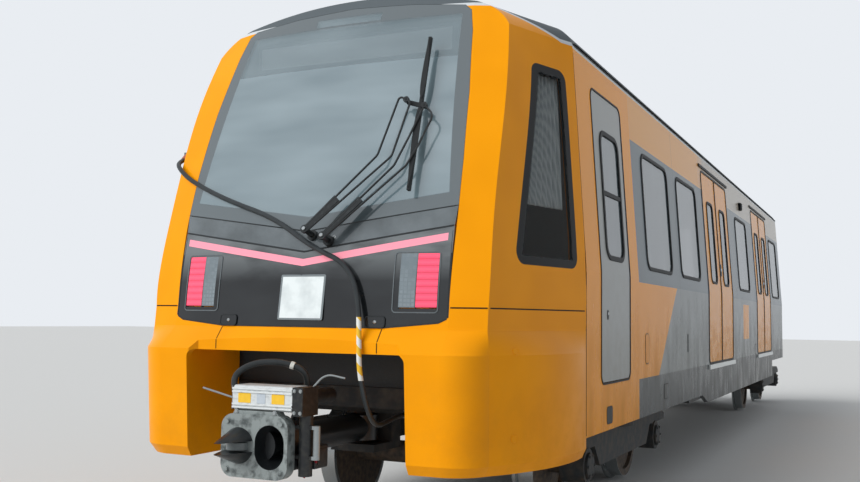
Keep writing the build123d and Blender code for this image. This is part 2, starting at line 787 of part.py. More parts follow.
STRIP_OUTLINE = [
    (0, PANEL_APEX - STRIP_DROP + STRIP_HEIGHT / 2),
    (STRIP_HALF, PANEL_TOP[1] - STRIP_DROP + STRIP_HEIGHT / 2),
    (STRIP_HALF, PANEL_TOP[1] - STRIP_DROP - STRIP_HEIGHT / 2),
    (0, PANEL_APEX - STRIP_DROP - STRIP_HEIGHT / 2),
]


def outline_prism(points, grow=0.0):
    """Half outline from top to bottom, mirrored, grown by grow, and swept through the front of the car."""
    right = [(x, up(h)) for x, h in points[1:-1]]
    loop = [(0, up(points[0][1])), *right, (0, up(points[-1][1])), *[(-x, z) for x, z in reversed(right)]]
    face = Face(Wire.make_polygon([(x, z, 0) for x, z in loop], close=True))
    if grow:
        face = Face(face.outer_wire().offset_2d(grow, kind=Kind.INTERSECTION))
    return extrude(Plane.XZ.offset(-at(CUT_DEPTH)) * face, amount=CUT_DEPTH + FRONT_REACH, dir=(0, -1, 0))


def lamp_block(sides):
    """Rectangle of one left lamp seen from ahead, swept through the front."""
    return box(*sides, -FRONT_REACH, CUT_DEPTH, LAMP_LOW, PANEL_APEX - LAMP_DROP)


def bumper_pieces(low_outer, low_seat, black):
    """Fairing under the front: a leg each side of the coupler bay and the bar between them."""
    bay_low = BAY_HEAD - 2 * (BAY_HEAD - BAY_FOOT)
    bay = front_slab(BAY_HALF, bay_low, BAY_HEAD, BAY_RADIUS, -FRONT_REACH, BAY_DEPTH)
    bar_front = plan_prism([
        (-BAR_HALF - BAR_SLANT, -FRONT_REACH),
        (-BAR_HALF - BAR_SLANT, BAR_FRONT - BAR_SLANT),
        (-BAR_HALF, BAR_FRONT),
        (BAR_HALF, BAR_FRONT),
        (BAR_HALF + BAR_SLANT, BAR_FRONT - BAR_SLANT),
        (BAR_HALF + BAR_SLANT, -FRONT_REACH),
    ], FLOOR, SEAM + MASK_THICK)
    wall_end = BAY_HALF + FAIRING_THICK
    leg_wall = box(BAY_HALF, wall_end, LEG_WALL_START, FAIRING_END, BAY_FOOT, BAY_HEAD)
    leg_wall = (leg_wall + box(BAY_HALF, wall_end, 0, LEG_WALL_END, BAY_FOOT, FLOOR_LOW)) & low_outer
    shelf_half = BAY_HALF + SHELF_LAP
    shelf = box(-shelf_half, shelf_half, LEG_WALL_START, SHELF_DEPTH, BAY_HEAD, BAY_HEAD + SHELF_THICK)
    fairing = low_outer - fairing_solid(FAIRING_THICK) + leg_wall + mirrored(leg_wall) + (shelf & low_outer)
    fairing = fairing - bay - bar_front - ((low_outer - low_seat) & black)
    joint = FRONT_GAP / 2
    centre = fairing & box(joint - BUMPER_JOINT, BUMPER_JOINT - joint, -FRONT_REACH, MASK_JOINT, 0, BIG)
    left = fairing & box(BUMPER_JOINT, BIG, -FRONT_REACH, MASK_JOINT, 0, BIG)
    right = fairing & box(-BIG, -BUMPER_JOINT, -FRONT_REACH, MASK_JOINT, 0, BIG)
    return {"bumper_left": left, "bumper_centre": centre, "bumper_right": right}


def nose_pieces():
    """All the pieces of the nose, by node name."""
    outer = nose_solid(0)
    glass_back = nose_solid(FRONT_GLASS)
    seat = nose_solid(FRONT_GLASS + SEAT_GAP)
    low_outer = fairing_solid(0)
    low_glass_back = fairing_solid(FRONT_GLASS)
    low_seat = fairing_solid(FRONT_GLASS + SEAT_GAP)
    black = outline_prism(BLACK_OUTLINE)
    screen_hole = outline_prism(SCREEN_OUTLINE, -REBATE)
    side_hole = side_prism(CAB_WINDOW, -BIG, BIG)
    side_hole = fillet(side_hole.edges().filter_by(Axis.X), CAB_WINDOW_RADIUS)

    mask = (outer - nose_solid(MASK_THICK)) - ((outer - seat) & black) - screen_hole - side_hole
    skin = outer - glass_back
    low_skin = low_outer - low_glass_back
    side_panes = [s for s in (skin & side_hole).solids() if abs(s.center().X) > CAB_FLOOR_HALF / 2]

    panel_cut = outline_prism(PANEL_OUTLINE, -FRONT_GAP / 2)
    panel = skin & panel_cut
    low_panel = low_skin & panel_cut
    tail = both(lamp_block(TAIL_LAMP))
    head = both(lamp_block(HEAD_LAMP))
    strip = outline_prism(STRIP_OUTLINE)
    for cut in (tail, head, strip):
        panel -= cut
        low_panel -= cut
    socket = box(
        -BIG, -NOSE_ROWS[2].glass_half, CABLE_RUN[0][1], CABLE_RUN[0][1] + SOCKET_LENGTH,
        CABLE_RUN[0][2] - SOCKET_HALF, CABLE_RUN[0][2] + SOCKET_HALF)
    socket_side = CABLE_RUN[0][0] - SOCKET_OUT
    socket &= box(socket_side, socket_side + SOCKET_DEPTH, -FRONT_REACH, MASK_JOINT, 0, BIG)
    cable_start, cable_next = [place(point) for point in CABLE_RUN[:2]]
    socket = socket - outer - rod(2 * SOCKET_HALF, cable_start, cable_next)
    foot_x, foot_station, foot_height = CABLE_RUN[-1]
    foot = box(foot_x - FOOT_SOCKET_HALF, foot_x + FOOT_SOCKET_HALF, foot_station, HEADSTOCK_FRONT,
               foot_height - FOOT_SOCKET_HALF, foot_height + FOOT_SOCKET_HALF)
    return {
        "cab_mask": mask,
        "cab_side_glass": together(*side_panes),
        "windscreen": skin & outline_prism(SCREEN_OUTLINE, -FRONT_GAP / 2),
        "wiper_cowl": skin & outline_prism(COWL_OUTLINE, -FRONT_GAP / 2),
        "light_panel": together(panel, low_panel),
        "tail_lamps": together(skin & tail),
        "head_lamps": together(skin & head),
        "light_strip": skin & strip,
        "cable_sockets": together(socket, foot),
        "wiper_spindle": wiper_spindle() - outer,
        **bumper_pieces(low_outer, low_seat, black),
    }


# Floor, interior and equipment

def underframe():
    """Floor with a headstock and the coupler's fork under the cab, and pivot pins over the bogies."""
    edge = HALF_WIDTH - WALL
    shape = box(-edge, edge, FLOOR_START, BODY_END, FLOOR_LOW, FLOOR)
    shape += box(-CAB_FLOOR_HALF, CAB_FLOOR_HALF, CAB_FLOOR_START, FLOOR_START, FLOOR_LOW, FLOOR)
    shape += box(-HEADSTOCK_HALF, HEADSTOCK_HALF, HEADSTOCK_FRONT, HEADSTOCK_BACK, BRACKET_TOP, FLOOR_LOW)
    shape += rod(PIVOT_RADIUS, place((0, FRONT_BOGIE, PIVOT_LOW)), place((0, FRONT_BOGIE, FLOOR_LOW)))
    bolster_low = FLOOR_LOW - END_BOLSTER_THICK
    half = END_BOLSTER_HALF
    shape += box(-half, half, END_BOLSTER_START, END_BOLSTER_END, bolster_low, FLOOR_LOW)
    shape += rod(PIVOT_RADIUS, place((0, REAR_BOGIE, PIVOT_LOW)), place((0, REAR_BOGIE, bolster_low)))
    lip_top = COUPLER_HEIGHT - EYE_THICK / 2 - BRACKET_GAP
    pin_foot = place((0, COUPLER_PIVOT, lip_top - COUPLER_PIN))
    lip_start, lip_end = COUPLER_PIVOT - BRACKET_LIP, COUPLER_PIVOT + BRACKET_REACH
    shape += box(-BRACKET_HALF, BRACKET_HALF, lip_start, lip_end, lip_top - COUPLER_PIN, lip_top)
    shape += box(-BRACKET_HALF, BRACKET_HALF, COUPLER_PIVOT + BRACKET_WEB, lip_end, lip_top, BRACKET_TOP)
    return shape + rod(COUPLER_PIN, pin_foot, place((0, COUPLER_PIVOT, BRACKET_TOP)))


def cab_partition():
    """Wall between the cab and the saloon, with a closed passage door sunk into its cab side."""
    wall = inside(PARTITION, PARTITION + PARTITION_THICK)
    wall -= box(-BIG, BIG, PARTITION - 1, PARTITION + PARTITION_THICK + 1, CEILING, CROWN)
    recess_end = PARTITION + PASSAGE_RECESS
    return wall - box(-PASSAGE_HALF, PASSAGE_HALF, PARTITION - 1, recess_end, FLOOR - 1, PASSAGE_HEAD)


def ceiling():
    """Flat ceiling from the cab to the inner end."""
    sheet = box(-BIG, BIG, CEILING_START, BODY_END - WALL, CEILING, CEILING + CEILING_THICK)
    return inside(CEILING_START, BODY_END - WALL) & sheet


def cab_desk():
    """Driver's desk under the windscreen."""
    return side_prism(DESK_PROFILE, -DESK_HALF, DESK_HALF)


def driver_seat():
    """Driver's seat on its column."""
    cushion_low = FLOOR + SEAT_HEIGHT - CUSHION_THICK
    foot = place((0, SEAT_PLACE, FLOOR))
    seat = rod(SEAT_COLUMN, foot, place((0, SEAT_PLACE, cushion_low)))
    seat += rod(SEAT_FOOT, foot, place((0, SEAT_PLACE, FLOOR + SEAT_FOOT_THICK)))
    seat += box(-CUSHION_HALF, CUSHION_HALF, SEAT_PLACE - CUSHION_HALF, SEAT_PLACE + CUSHION_HALF,
                cushion_low, FLOOR + SEAT_HEIGHT)
    rear = SEAT_PLACE + CUSHION_HALF
    top = FLOOR + BACKREST_TOP
    back = [(rear - BACKREST_THICK, cushion_low), (rear, cushion_low), (rear + BACKREST_LEAN, top),
            (rear + BACKREST_LEAN - BACKREST_THICK, top)]
    return seat + side_prism(back, -BACKREST_HALF, BACKREST_HALF)


def saloon_seats():
    """Longitudinal benches along both sides."""
    wall = HALF_WIDTH - WALL
    profile = [
        (wall, FLOOR),
        (wall - BENCH_FOOT, FLOOR),
        (wall - BENCH_DEPTH, FLOOR + BENCH_EDGE),
        (wall - BENCH_DEPTH, FLOOR + BENCH_TOP),
        (wall - BENCH_BACK, FLOOR + BENCH_TOP),
        (wall - BENCH_BACK, FLOOR + BENCH_HEAD),
        (wall, FLOOR + BENCH_HEAD),
    ]
    seats = []
    for bench in BENCHES:
        end = bench.start + bench.length
        clip = side_layer(WALL, WALL + BENCH_DEPTH + BENCH_REACH, bench.start, end, low=FLOOR)
        seats.append(section_prism(profile, bench.start, end) & clip)
    return both(together(*seats))


def grab_poles():
    """Upright poles beside the doorways, from the floor to the ceiling."""
    poles = []
    for station in POLES:
        foot, top = place((POLE_HALF, station, FLOOR)), place((POLE_HALF, station, CEILING))
        poles.append(rod(POLE_RADIUS, foot, top))
    return both(together(*poles))


def underfloor_cases():
    """Equipment cases hung under the floor between the bogies."""
    return together(*[box(-c.half, c.half, c.start, c.start + c.length, c.low, FLOOR_LOW) for c in CASES])


def roof_units():
    """Low equipment boxes standing on the roof."""
    arch = roof_block(0, MASK_JOINT, BODY_END)
    return together(*[
        box(-u.half, u.half, u.start, u.start + u.length, SHOULDER, CROWN + u.rise) - arch
        for u in ROOF_UNITS
    ])


# Running gear

def wheelset(station):
    """Axle with its two wheels, on the rails at a station."""
    rim = WHEEL_RADIUS - RIM_DEPTH
    profile = [
        (0, 0),
        (0, AXLE_RADIUS),
        (FLANGE_INNER, AXLE_RADIUS),
        (FLANGE_INNER, FLANGE_RADIUS),
        (FLANGE_EDGE, FLANGE_RADIUS),
        (TREAD_INNER, WHEEL_RADIUS),
        (TREAD_OUTER, WHEEL_RADIUS),
        (TREAD_OUTER, rim),
        (TREAD_OUTER - DISH, rim),
        (TREAD_OUTER, JOURNAL_RADIUS),
        (JOURNAL_END, JOURNAL_RADIUS),
        (JOURNAL_END, 0),
    ]
    axis_height = up(WHEEL_RADIUS)
    face = Face(Wire.make_polygon([(x, at(station) + r, axis_height) for x, r in profile], close=True))
    half = revolve(face, axis=Axis((0, at(station), axis_height), (1, 0, 0)), revolution_arc=360)
    return half + mirrored(half)


def bogie_frame(station, springs):
    """Outside-framed bogie: side beams on axle boxes, a bored cross beam, motors and air springs."""
    half = WHEELBASE / 2
    low_end = BEAM_TOP - BEAM_DEPTH
    rear_half = [
        (0, BEAM_TOP),
        (half + BEAM_SHOULDER, BEAM_TOP),
        (BEAM_END, BEAM_TIP),
        (BEAM_END, low_end),
        (half - BEAM_SHOULDER, low_end),
        (half - BEAM_KNEE, BEAM_BELLY),
    ]
    points = [*rear_half, *[(-s, h) for s, h in reversed(rear_half[1:])]]
    outline = [(station + s, h) for s, h in points]
    beam = side_prism(outline, SIDE_BEAM - BEAM_WIDTH / 2, SIDE_BEAM + BEAM_WIDTH / 2)
    for axle in (station - half, station + half):
        beam += rod(AXLE_BOX_RADIUS, place((SIDE_BEAM - AXLE_BOX_WIDTH / 2, axle, WHEEL_RADIUS)),
                    place((SIDE_BEAM + AXLE_BOX_WIDTH / 2, axle, WHEEL_RADIUS)))
        beam += box(SIDE_BEAM - PEDESTAL_WIDTH / 2, SIDE_BEAM + PEDESTAL_WIDTH / 2,
                    axle - PEDESTAL_LENGTH / 2, axle + PEDESTAL_LENGTH / 2, WHEEL_RADIUS, low_end)
        beam -= rod(JOURNAL_RADIUS + BEARING_CLEAR, place((SIDE_BEAM - BEAM_WIDTH, axle, WHEEL_RADIUS)),
                    place((JOURNAL_END + BEARING_CLEAR, axle, WHEEL_RADIUS)))
    for offset, radius in springs:
        beam += rod(radius, place((SPRING_X, station + offset, BEAM_TOP - SPRING_SINK)),
                    place((SPRING_X, station + offset, FLOOR_LOW - BOGIE_CLEAR)))
    frame = beam + mirrored(beam)
    frame += box(-SIDE_BEAM, SIDE_BEAM, station - CROSS_HALF, station + CROSS_HALF, CROSS_LOW, BEAM_TOP)
    for side in (-1, 1):
        motor = station + side * MOTOR_PLACE
        height = WHEEL_RADIUS + MOTOR_RISE
        end = MOTOR_LENGTH / 2
        frame += rod(MOTOR_RADIUS, place((-end, motor, height)), place((end, motor, height)))
        arm_start, arm_end = min(station, motor), max(station, motor)
        frame += box(-MOTOR_ARM_HALF, MOTOR_ARM_HALF, arm_start, arm_end, CROSS_LOW, MOTOR_ARM_TOP)
    bore = rod(PIVOT_RADIUS + PIVOT_CLEAR, place((0, station, -BIG)), place((0, station, BIG)))
    return frame - bore


# Coupler

def cup_wire(station, share):
    """Upright oval of the cup at a station, at a share of its full size."""
    width = CUP_WIDTH * share
    height = CUP_HEIGHT * share
    plane = Plane(origin=place((CONE_SIDE, station, COUPLER_HEIGHT)), x_dir=(1, 0, 0), z_dir=(0, -1, 0))
    return (plane * SlotOverall(height, width, rotation=90)).wires()[0]


def coupler_head():
    """Cast face plate with a cone and a cup, its hook plate, and the shank back to the pivot eye."""
    back = COUPLER_FACE + FACE_THICK
    centre = COUPLER_HEIGHT
    face_low, face_top = centre - FACE_HEIGHT / 2, centre + FACE_HEIGHT / 2
    head = front_slab(FACE_WIDTH / 2, face_low, face_top, FACE_RADIUS, COUPLER_FACE, back)
    lug_foot = face_top - LUG_SLOPE
    head += section_prism([
        (-LUG_HALF - LUG_SLOPE, lug_foot),
        (-LUG_HALF, ELECTRIC_LOW),
        (LUG_HALF, ELECTRIC_LOW),
        (LUG_HALF + LUG_SLOPE, lug_foot),
    ], COUPLER_FACE + ELECTRIC_SETBACK, back)
    head += plan_prism([
        (-HEAD_HALF, back),
        (HEAD_HALF, back),
        (HEAD_HALF, COUPLER_FACE + HEAD_TAPER),
        (HEAD_WAIST, COUPLER_FACE + HEAD_LENGTH),
        (-HEAD_WAIST, COUPLER_FACE + HEAD_LENGTH),
        (-HEAD_HALF, COUPLER_FACE + HEAD_TAPER),
    ], centre - HEAD_LOW, centre + HEAD_TOP)
    cup_mouth, cup_back = cup_wire(COUPLER_FACE, 1), cup_wire(COUPLER_FACE + CUP_DEPTH, CUP_END)
    head -= Solid.make_loft([cup_mouth, cup_back], ruled=True)
    cone_place = Plane(origin=place((-CONE_SIDE, COUPLER_FACE, centre)), z_dir=(0, -1, 0))
    length = COUPLER_FACE - CONE_TIP
    cone = cone_place * Cone(CONE_RADIUS, CONE_NOSE, length, align=(Align.CENTER, Align.CENTER, Align.MIN))
    cone -= box(-BIG, BIG, CONE_TIP, COUPLER_FACE, centre - HOOK_SLOT / 2, centre + HOOK_SLOT / 2)
    hook_low = place((-CONE_SIDE, COUPLER_FACE, centre - HOOK_THICK / 2))
    hook_top = place((-CONE_SIDE, COUPLER_FACE, centre + HOOK_THICK / 2))
    head += cone
    head += rod(HOOK_RADIUS, hook_low, hook_top)
    head += rod(SHANK_RADIUS, place((0, back, centre)), place((0, COUPLER_PIVOT - EYE_RADIUS / 2, centre)))
    eye_low = place((0, COUPLER_PIVOT, centre - EYE_THICK / 2))
    eye_top = place((0, COUPLER_PIVOT, centre + EYE_THICK / 2))
    head += rod(EYE_RADIUS, eye_low, eye_top)
    hose_last, hose_end = [Vector(*place(point)) for point in HOSE_RUN[-2:]]
    gland_length = HOSE_RUN[-1][2] - centre
    head += rod(HOSE_GLAND, hose_end, hose_end + (hose_end - hose_last).normalized() * gland_length)
    bore_low = place((0, COUPLER_PIVOT, centre - EYE_THICK))
    bore_top = place((0, COUPLER_PIVOT, centre + EYE_THICK))
    return head - rod(COUPLER_PIN + COUPLER_PIN_CLEAR, bore_low, bore_top)


def electric_coupler():
    """Ribbed cover of the electric coupler, resting on the lug of the head."""
    front = COUPLER_FACE + ELECTRIC_SETBACK
    cover = box(ELECTRIC_RIGHT, ELECTRIC_LEFT, front, front + ELECTRIC_DEPTH, ELECTRIC_LOW, ELECTRIC_TOP)
    edges = cover.edges().filter_by(Axis.X).sort_by(Axis.Y)[:2]
    cover = fillet(edges, ELECTRIC_RADIUS)
    rib_start, rib_end = front - RIB_OUT, front + ELECTRIC_RADIUS
    for low in RIBS:
        cover += box(ELECTRIC_RIGHT, ELECTRIC_LEFT, rib_start, rib_end, low, low + RIB_HEIGHT)
    return cover


def coupler_gear():
    """Housing, crank, damper and actuator round the face, with a lever at both ends and the hose's gland."""
    front = COUPLER_FACE + ELECTRIC_SETBACK
    back = front + ELECTRIC_DEPTH
    gear = box(ELECTRIC_LEFT, ELECTRIC_LEFT + HOUSING_LENGTH, front, back, HOUSING_LOW, ELECTRIC_TOP)
    crank_foot = place((CRANK_SIDE, CRANK_STATION, CRANK_FOOT))
    gear += rod(CRANK_RADIUS, crank_foot, place((CRANK_SIDE, CRANK_STATION, HOUSING_LOW)))
    damper_foot = place((DAMPER_SIDE, CRANK_STATION, DAMPER_LOW))
    gear += rod(DAMPER_RADIUS, damper_foot, place((DAMPER_SIDE, CRANK_STATION, DAMPER_TOP)))
    arm_start, arm_end = CRANK_STATION - DAMPER_RADIUS, CRANK_STATION + DAMPER_RADIUS
    for low in (DAMPER_LOW, DAMPER_TOP - DAMPER_RADIUS):
        gear += box(HEAD_HALF, DAMPER_SIDE, arm_start, arm_end, low, low + DAMPER_RADIUS)
    gear += tube([place(point) for point in LEFT_LEVER], LEVER_RADIUS)
    actuator_start = place((ACTUATOR_SIDE, back, ACTUATOR_HEIGHT))
    actuator_end = place((ACTUATOR_SIDE, back + ACTUATOR_LENGTH, ACTUATOR_HEIGHT))
    start, following = [Vector(*place(point)) for point in HOSE_RUN[:2]]
    gland = rod(HOSE_GLAND, start - (following - start).normalized() * 2 * HOSE_GLAND, start)
    cover = box(ELECTRIC_RIGHT, ELECTRIC_LEFT, front - RIB_OUT, back, ELECTRIC_LOW, ELECTRIC_TOP)
    right_lever = tube([place(point) for point in RIGHT_LEVER], LEVER_RADIUS)
    actuator = rod(ACTUATOR_RADIUS, actuator_start, actuator_end)
    return together(gear, actuator, gland - cover, right_lever - cover)


# Wiper

def wiper_plane(stand):
    """Plane that the wiper sweeps, along the windscreen and out from the cowl by a stand."""
    tilt = radians(WIPER_TILT)
    surface = at(NOSE_ROWS[1].glass_y - GLASS_BOW)
    origin = (WIPER_X, surface - stand * cos(tilt), up(PANEL_APEX + WIPER_RISE) + stand * sin(tilt))
    return Plane(origin=origin, x_dir=(1, 0, 0), z_dir=(0, -cos(tilt), sin(tilt)))


def wiper_point(point, out=0.0):
    """Model coordinates of a point of the wiper's plane."""
    return tuple(wiper_plane(WIPER_STAND).from_local_coords(Vector(point[0], point[1], out)))


def wiper_disc(point, radius, low, high):
    """Cylinder across the wiper's plane between two distances from it."""
    return rod(radius, wiper_point(point, low), wiper_point(point, high))


def shifted(point, pitch):
    """A point moved by a pitch."""
    return (point[0] + pitch[0], point[1] + pitch[1])


def bent_rod_arm(rods, pivot, tip, layer):
    """Arm of two bent rods in one layer of the wiper, from a hub on its post to the eye at the blade."""
    low, high = layer - HUB_THICK / 2, layer + HUB_THICK / 2
    arm = wiper_disc(pivot, HUB_RADIUS, low, high) + wiper_disc(tip, TIP_RADIUS, low, high)
    for bends in rods:
        arm += tube([wiper_point(bend, layer) for bend in bends], ROD_RADIUS, ROD_BEND)
    arm -= wiper_disc(pivot, WIPER_PIN + PIN_CLEAR, low - 1, high + 1)
    return arm - wiper_disc(tip, TIP_PIN + PIN_CLEAR, low - 1, high + 1)


def wiper_arm():
    """Driven arm, in the outer layer."""
    return bent_rod_arm(MAIN_RODS, ARM_PIVOT, BLADE_PIVOT, MAIN_LAYER)


def wiper_second_arm():
    """Arm that keeps the blade upright, in the layer nearer the glass."""
    pivot, tip = shifted(ARM_PIVOT, ARM_PITCH), shifted(BLADE_PIVOT, ARM_PITCH)
    return bent_rod_arm(SECOND_RODS, pivot, tip, SECOND_LAYER)


def bar_between(first, last, width, back, face):
    """Flat bar between two points of the wiper's plane, from one distance behind it to another."""
    dx, dy = last[0] - first[0], last[1] - first[1]
    length = (dx * dx + dy * dy) ** 0.5
    side = (-dy / length * width / 2, dx / length * width / 2)
    corners = [shifted(first, side), shifted(last, side), shifted(last, (-side[0], -side[1])),
               shifted(first, (-side[0], -side[1]))]
    outline = Face(Wire.make_polygon([wiper_point(corner, -back) for corner in corners], close=True))
    return extrude(outline, amount=back - face, dir=tuple(wiper_plane(0).z_dir))


def wiper_blade():
    """Blade and its carrier behind the arms, with a pin up through the eye of each arm."""
    second = shifted(BLADE_PIVOT, ARM_PITCH)
    blade = bar_between(BLADE_FOOT, BLADE_TOP, BLADE_WIDTH, BLADE_BACK, BLADE_FACE)
    blade += bar_between(BLADE_PIVOT, second, CARRIER_WIDTH, CARRIER_BACK, CARRIER_FACE)
    for pivot, layer in ((BLADE_PIVOT, MAIN_LAYER), (second, SECOND_LAYER)):
        blade += wiper_disc(pivot, CARRIER_WIDTH / 2, -CARRIER_BACK, -CARRIER_FACE)
        blade += wiper_disc(pivot, TIP_PIN, -CARRIER_BACK, layer + HUB_THICK / 2 + PIN_HEAD)
    return blade


def wiper_spindle():
    """Posts and pins of the two arms, longer than they stand out of the cowl."""
    posts = []
    for pivot, layer in ((ARM_PIVOT, MAIN_LAYER), (shifted(ARM_PIVOT, ARM_PITCH), SECOND_LAYER)):
        post = wiper_disc(pivot, POST_RADIUS, -2 * WIPER_STAND, layer - HUB_THICK / 2 - POST_GAP)
        post += wiper_disc(pivot, WIPER_PIN, -WIPER_STAND, layer + HUB_THICK / 2 + PIN_HEAD)
        post += wiper_disc(pivot, POST_BASE, -2 * WIPER_STAND, -WIPER_STAND + POST_BASE / 2)
        posts.append(post)
    return together(*posts)


Bogie = namedtuple("Bogie", "name station springs")
PAIRED_SPRINGS = [(side * JACOBS_SPRING_PITCH, JACOBS_SPRING_RADIUS) for side in (-1, 1)]
BOGIES = [
    Bogie("front_bogie", FRONT_BOGIE, [(0, AIR_SPRING_RADIUS)]),
    Bogie("rear_bogie", REAR_BOGIE, PAIRED_SPRINGS),
]


def whole_car():
    """Every piece of the car by node name."""
    leaf, pane = cab_door_parts()
    nodes = {"saloon_glass": both(together(side_glass(), door_glass())), "door_sills": both(door_sills())}
    for name, left in (
        ("body_side", body_side()),
        ("passenger_doors", passenger_doors()),
        ("cab_door", leaf),
        ("cab_door_glass", pane),
    ):
        nodes[f"{name}_left"] = left
        nodes[f"{name}_right"] = mirrored(left)
    nodes.update(nose_pieces())
    for piece in (
        roof, end_wall, gangway_bellows, underframe, cab_partition, ceiling, cab_desk, driver_seat,
        saloon_seats, grab_poles, underfloor_cases, roof_units, coupler_head, electric_coupler, coupler_gear,
        wiper_arm, wiper_second_arm, wiper_blade,
    ):
        nodes[piece.__name__] = piece()
    for bogie in BOGIES:
        nodes[f"{bogie.name}_frame"] = bogie_frame(bogie.station, bogie.springs)
        nodes[f"{bogie.name}_front_wheels"] = wheelset(bogie.station - WHEELBASE / 2)
        nodes[f"{bogie.name}_rear_wheels"] = wheelset(bogie.station + WHEELBASE / 2)
    nodes["coupler_hose"] = tube([place(point) for point in HOSE_RUN], HOSE_RADIUS)
    nodes["jumper_cable"] = tube([place(point) for point in CABLE_RUN], CABLE_RADIUS)
    return nodes


if __name__ == "__main__":
    for name, shape in whole_car().items():
        export_step(shape, f"parts/{name}.step")
        print(name, len(shape.solids()), round(shape.volume / 1e6, 1), "litres")
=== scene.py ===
from contextlib import contextmanager
from math import cos, pi, radians, sin

import bpy
from mathutils import Euler, Matrix, Vector


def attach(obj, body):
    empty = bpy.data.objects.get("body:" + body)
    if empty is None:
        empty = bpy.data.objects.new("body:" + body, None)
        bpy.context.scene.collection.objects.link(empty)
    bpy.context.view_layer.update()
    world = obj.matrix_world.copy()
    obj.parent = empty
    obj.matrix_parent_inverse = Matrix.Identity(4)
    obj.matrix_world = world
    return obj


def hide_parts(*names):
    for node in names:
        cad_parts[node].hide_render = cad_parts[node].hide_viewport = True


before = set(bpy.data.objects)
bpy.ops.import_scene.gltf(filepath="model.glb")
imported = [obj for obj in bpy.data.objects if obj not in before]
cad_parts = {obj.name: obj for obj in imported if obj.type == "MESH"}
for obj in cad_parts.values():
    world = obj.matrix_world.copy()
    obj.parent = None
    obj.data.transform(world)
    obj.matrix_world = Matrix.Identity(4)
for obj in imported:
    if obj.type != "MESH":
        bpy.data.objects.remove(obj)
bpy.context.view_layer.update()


# Camera: a standing person's eye ahead of the car's left corner. The lens and the place come from straight
# lines of the nose and the side. Lengths are metres, from the foot of the screen and the top of the rail.
NOSE_Y = -6.799
RAIL_Z = 0.028
EYE = (2.983, NOSE_Y - 4.642, 1.380)
LOOK_UP, LOOK_LEFT, ROLL = 4.53, 25.27, 0.78
LENS_LENGTH, SENSOR_WIDTH = 41.07, 36.0
level_look = Euler((radians(90 + LOOK_UP), 0, radians(LOOK_LEFT))).to_matrix()
look = level_look @ Matrix.Rotation(radians(ROLL), 3, "Z")
bpy.ops.object.camera_add(location=EYE, rotation=look.to_euler())
camera = bpy.context.object
camera.name = "standing_eye"
camera.data.sensor_width = SENSOR_WIDTH
camera.data.lens = LENS_LENGTH
camera.data.clip_end = 200.0
bpy.context.scene.camera = camera


# Front cable: a rubber-sheathed jumper cable that hangs from a socket behind the right pillar across the
# screen and down past the coupler to the headstock. Striped tape is wound round it where it passes the bar.
CABLE_RUN = [
    (-1150, 400, 2370), (-1135, 310, 2335), (-1085, 230, 2288), (-960, 183, 2198), (-760, 134, 2106),
    (-530, 92, 2018), (-320, 62, 1951), (-150, 34, 1874), (-10, 2, 1789), (130, -9, 1714), (262, -13, 1662),
    (352, -24, 1560), (394, -42, 1415), (424, -84, 1242), (434, -98, 1085), (462, -84, 925), (470, -20, 812),
    (438, 122, 766), (412, 290, 778), (405, 430, 795), (405, 540, 795),
]
CABLE_RADIUS = 0.014
TAPE_FOOT, TAPE_TOP = 1.050, 1.384
TAPE_TURN = 0.085


def linear(code):
    """sRGB hex colour as linear RGBA."""
    parts = [int(code[i:i + 2], 16) / 255 for i in (1, 3, 5)]
    return tuple(c / 12.92 if c <= 0.04045 else ((c + 0.055) / 1.055) ** 2.4 for c in parts) + (1.0,)


def node(kind, *inputs, output=0, **settings):
    """Adds a node to the finish in hand and gives one of its outputs. A kind in capitals is what a maths node
    works out. Inputs come in order, or by name with a capital, and are numbers, hex colours or other nodes'
    outputs. Other names are the node's own settings."""
    made = tree.nodes.new("ShaderNode" + ("Math" if kind.isupper() else kind))
    if kind.isupper():
        made.operation = kind
    sockets = list(zip(made.inputs, inputs))
    for key, value in settings.items():
        if key[0].isupper():
            sockets.append((made.inputs[key.replace("_", " ")], value))
        else:
            setattr(made, key, value)
    for socket, value in sockets:
        if isinstance(value, bpy.types.NodeSocket):
            tree.links.new(value, socket)
        else:
            socket.default_value = linear(value) if isinstance(value, str) else value
    return made.outputs[output] if made.outputs else made


def new_finish(name):
    """Empty material. Until the next one, tree is its nodes, place the piece's own coordinates in metres, and
    x, y and z the same one by one."""
    global tree, place, x, y, z
    material = bpy.data.materials.new(name)
    material.use_nodes = True
    tree = material.node_tree
    tree.nodes.clear()
    place = node("TexCoord", output=3)
    x, y, z = [node("SeparateXYZ", place, output=axis) for axis in range(3)]
    return material


def rail_point(point):
    """Model point in metres from millimetres across, along from the foot of the screen and above the rail."""
    return Vector((point[0] / 1000, NOSE_Y + point[1] / 1000, RAIL_Z + point[2] / 1000))


def hung_cord(name, run, radius):
    """Cord on one smooth curve through its run of points."""
    curve = bpy.data.curves.new(name, "CURVE")
    curve.dimensions = "3D"
    spline = curve.splines.new("NURBS")
    spline.points.add(len(run) - 1)
    for point, corner in zip(spline.points, run):
        point.co = (*rail_point(corner), 1)
    spline.order_u = 3
    spline.use_endpoint_u = True
    spline.resolution_u = 8
    curve.bevel_depth = radius
    curve.bevel_resolution = 4
    cord = bpy.data.objects.new(name, curve)
    bpy.context.scene.collection.objects.link(cord)
    return cord


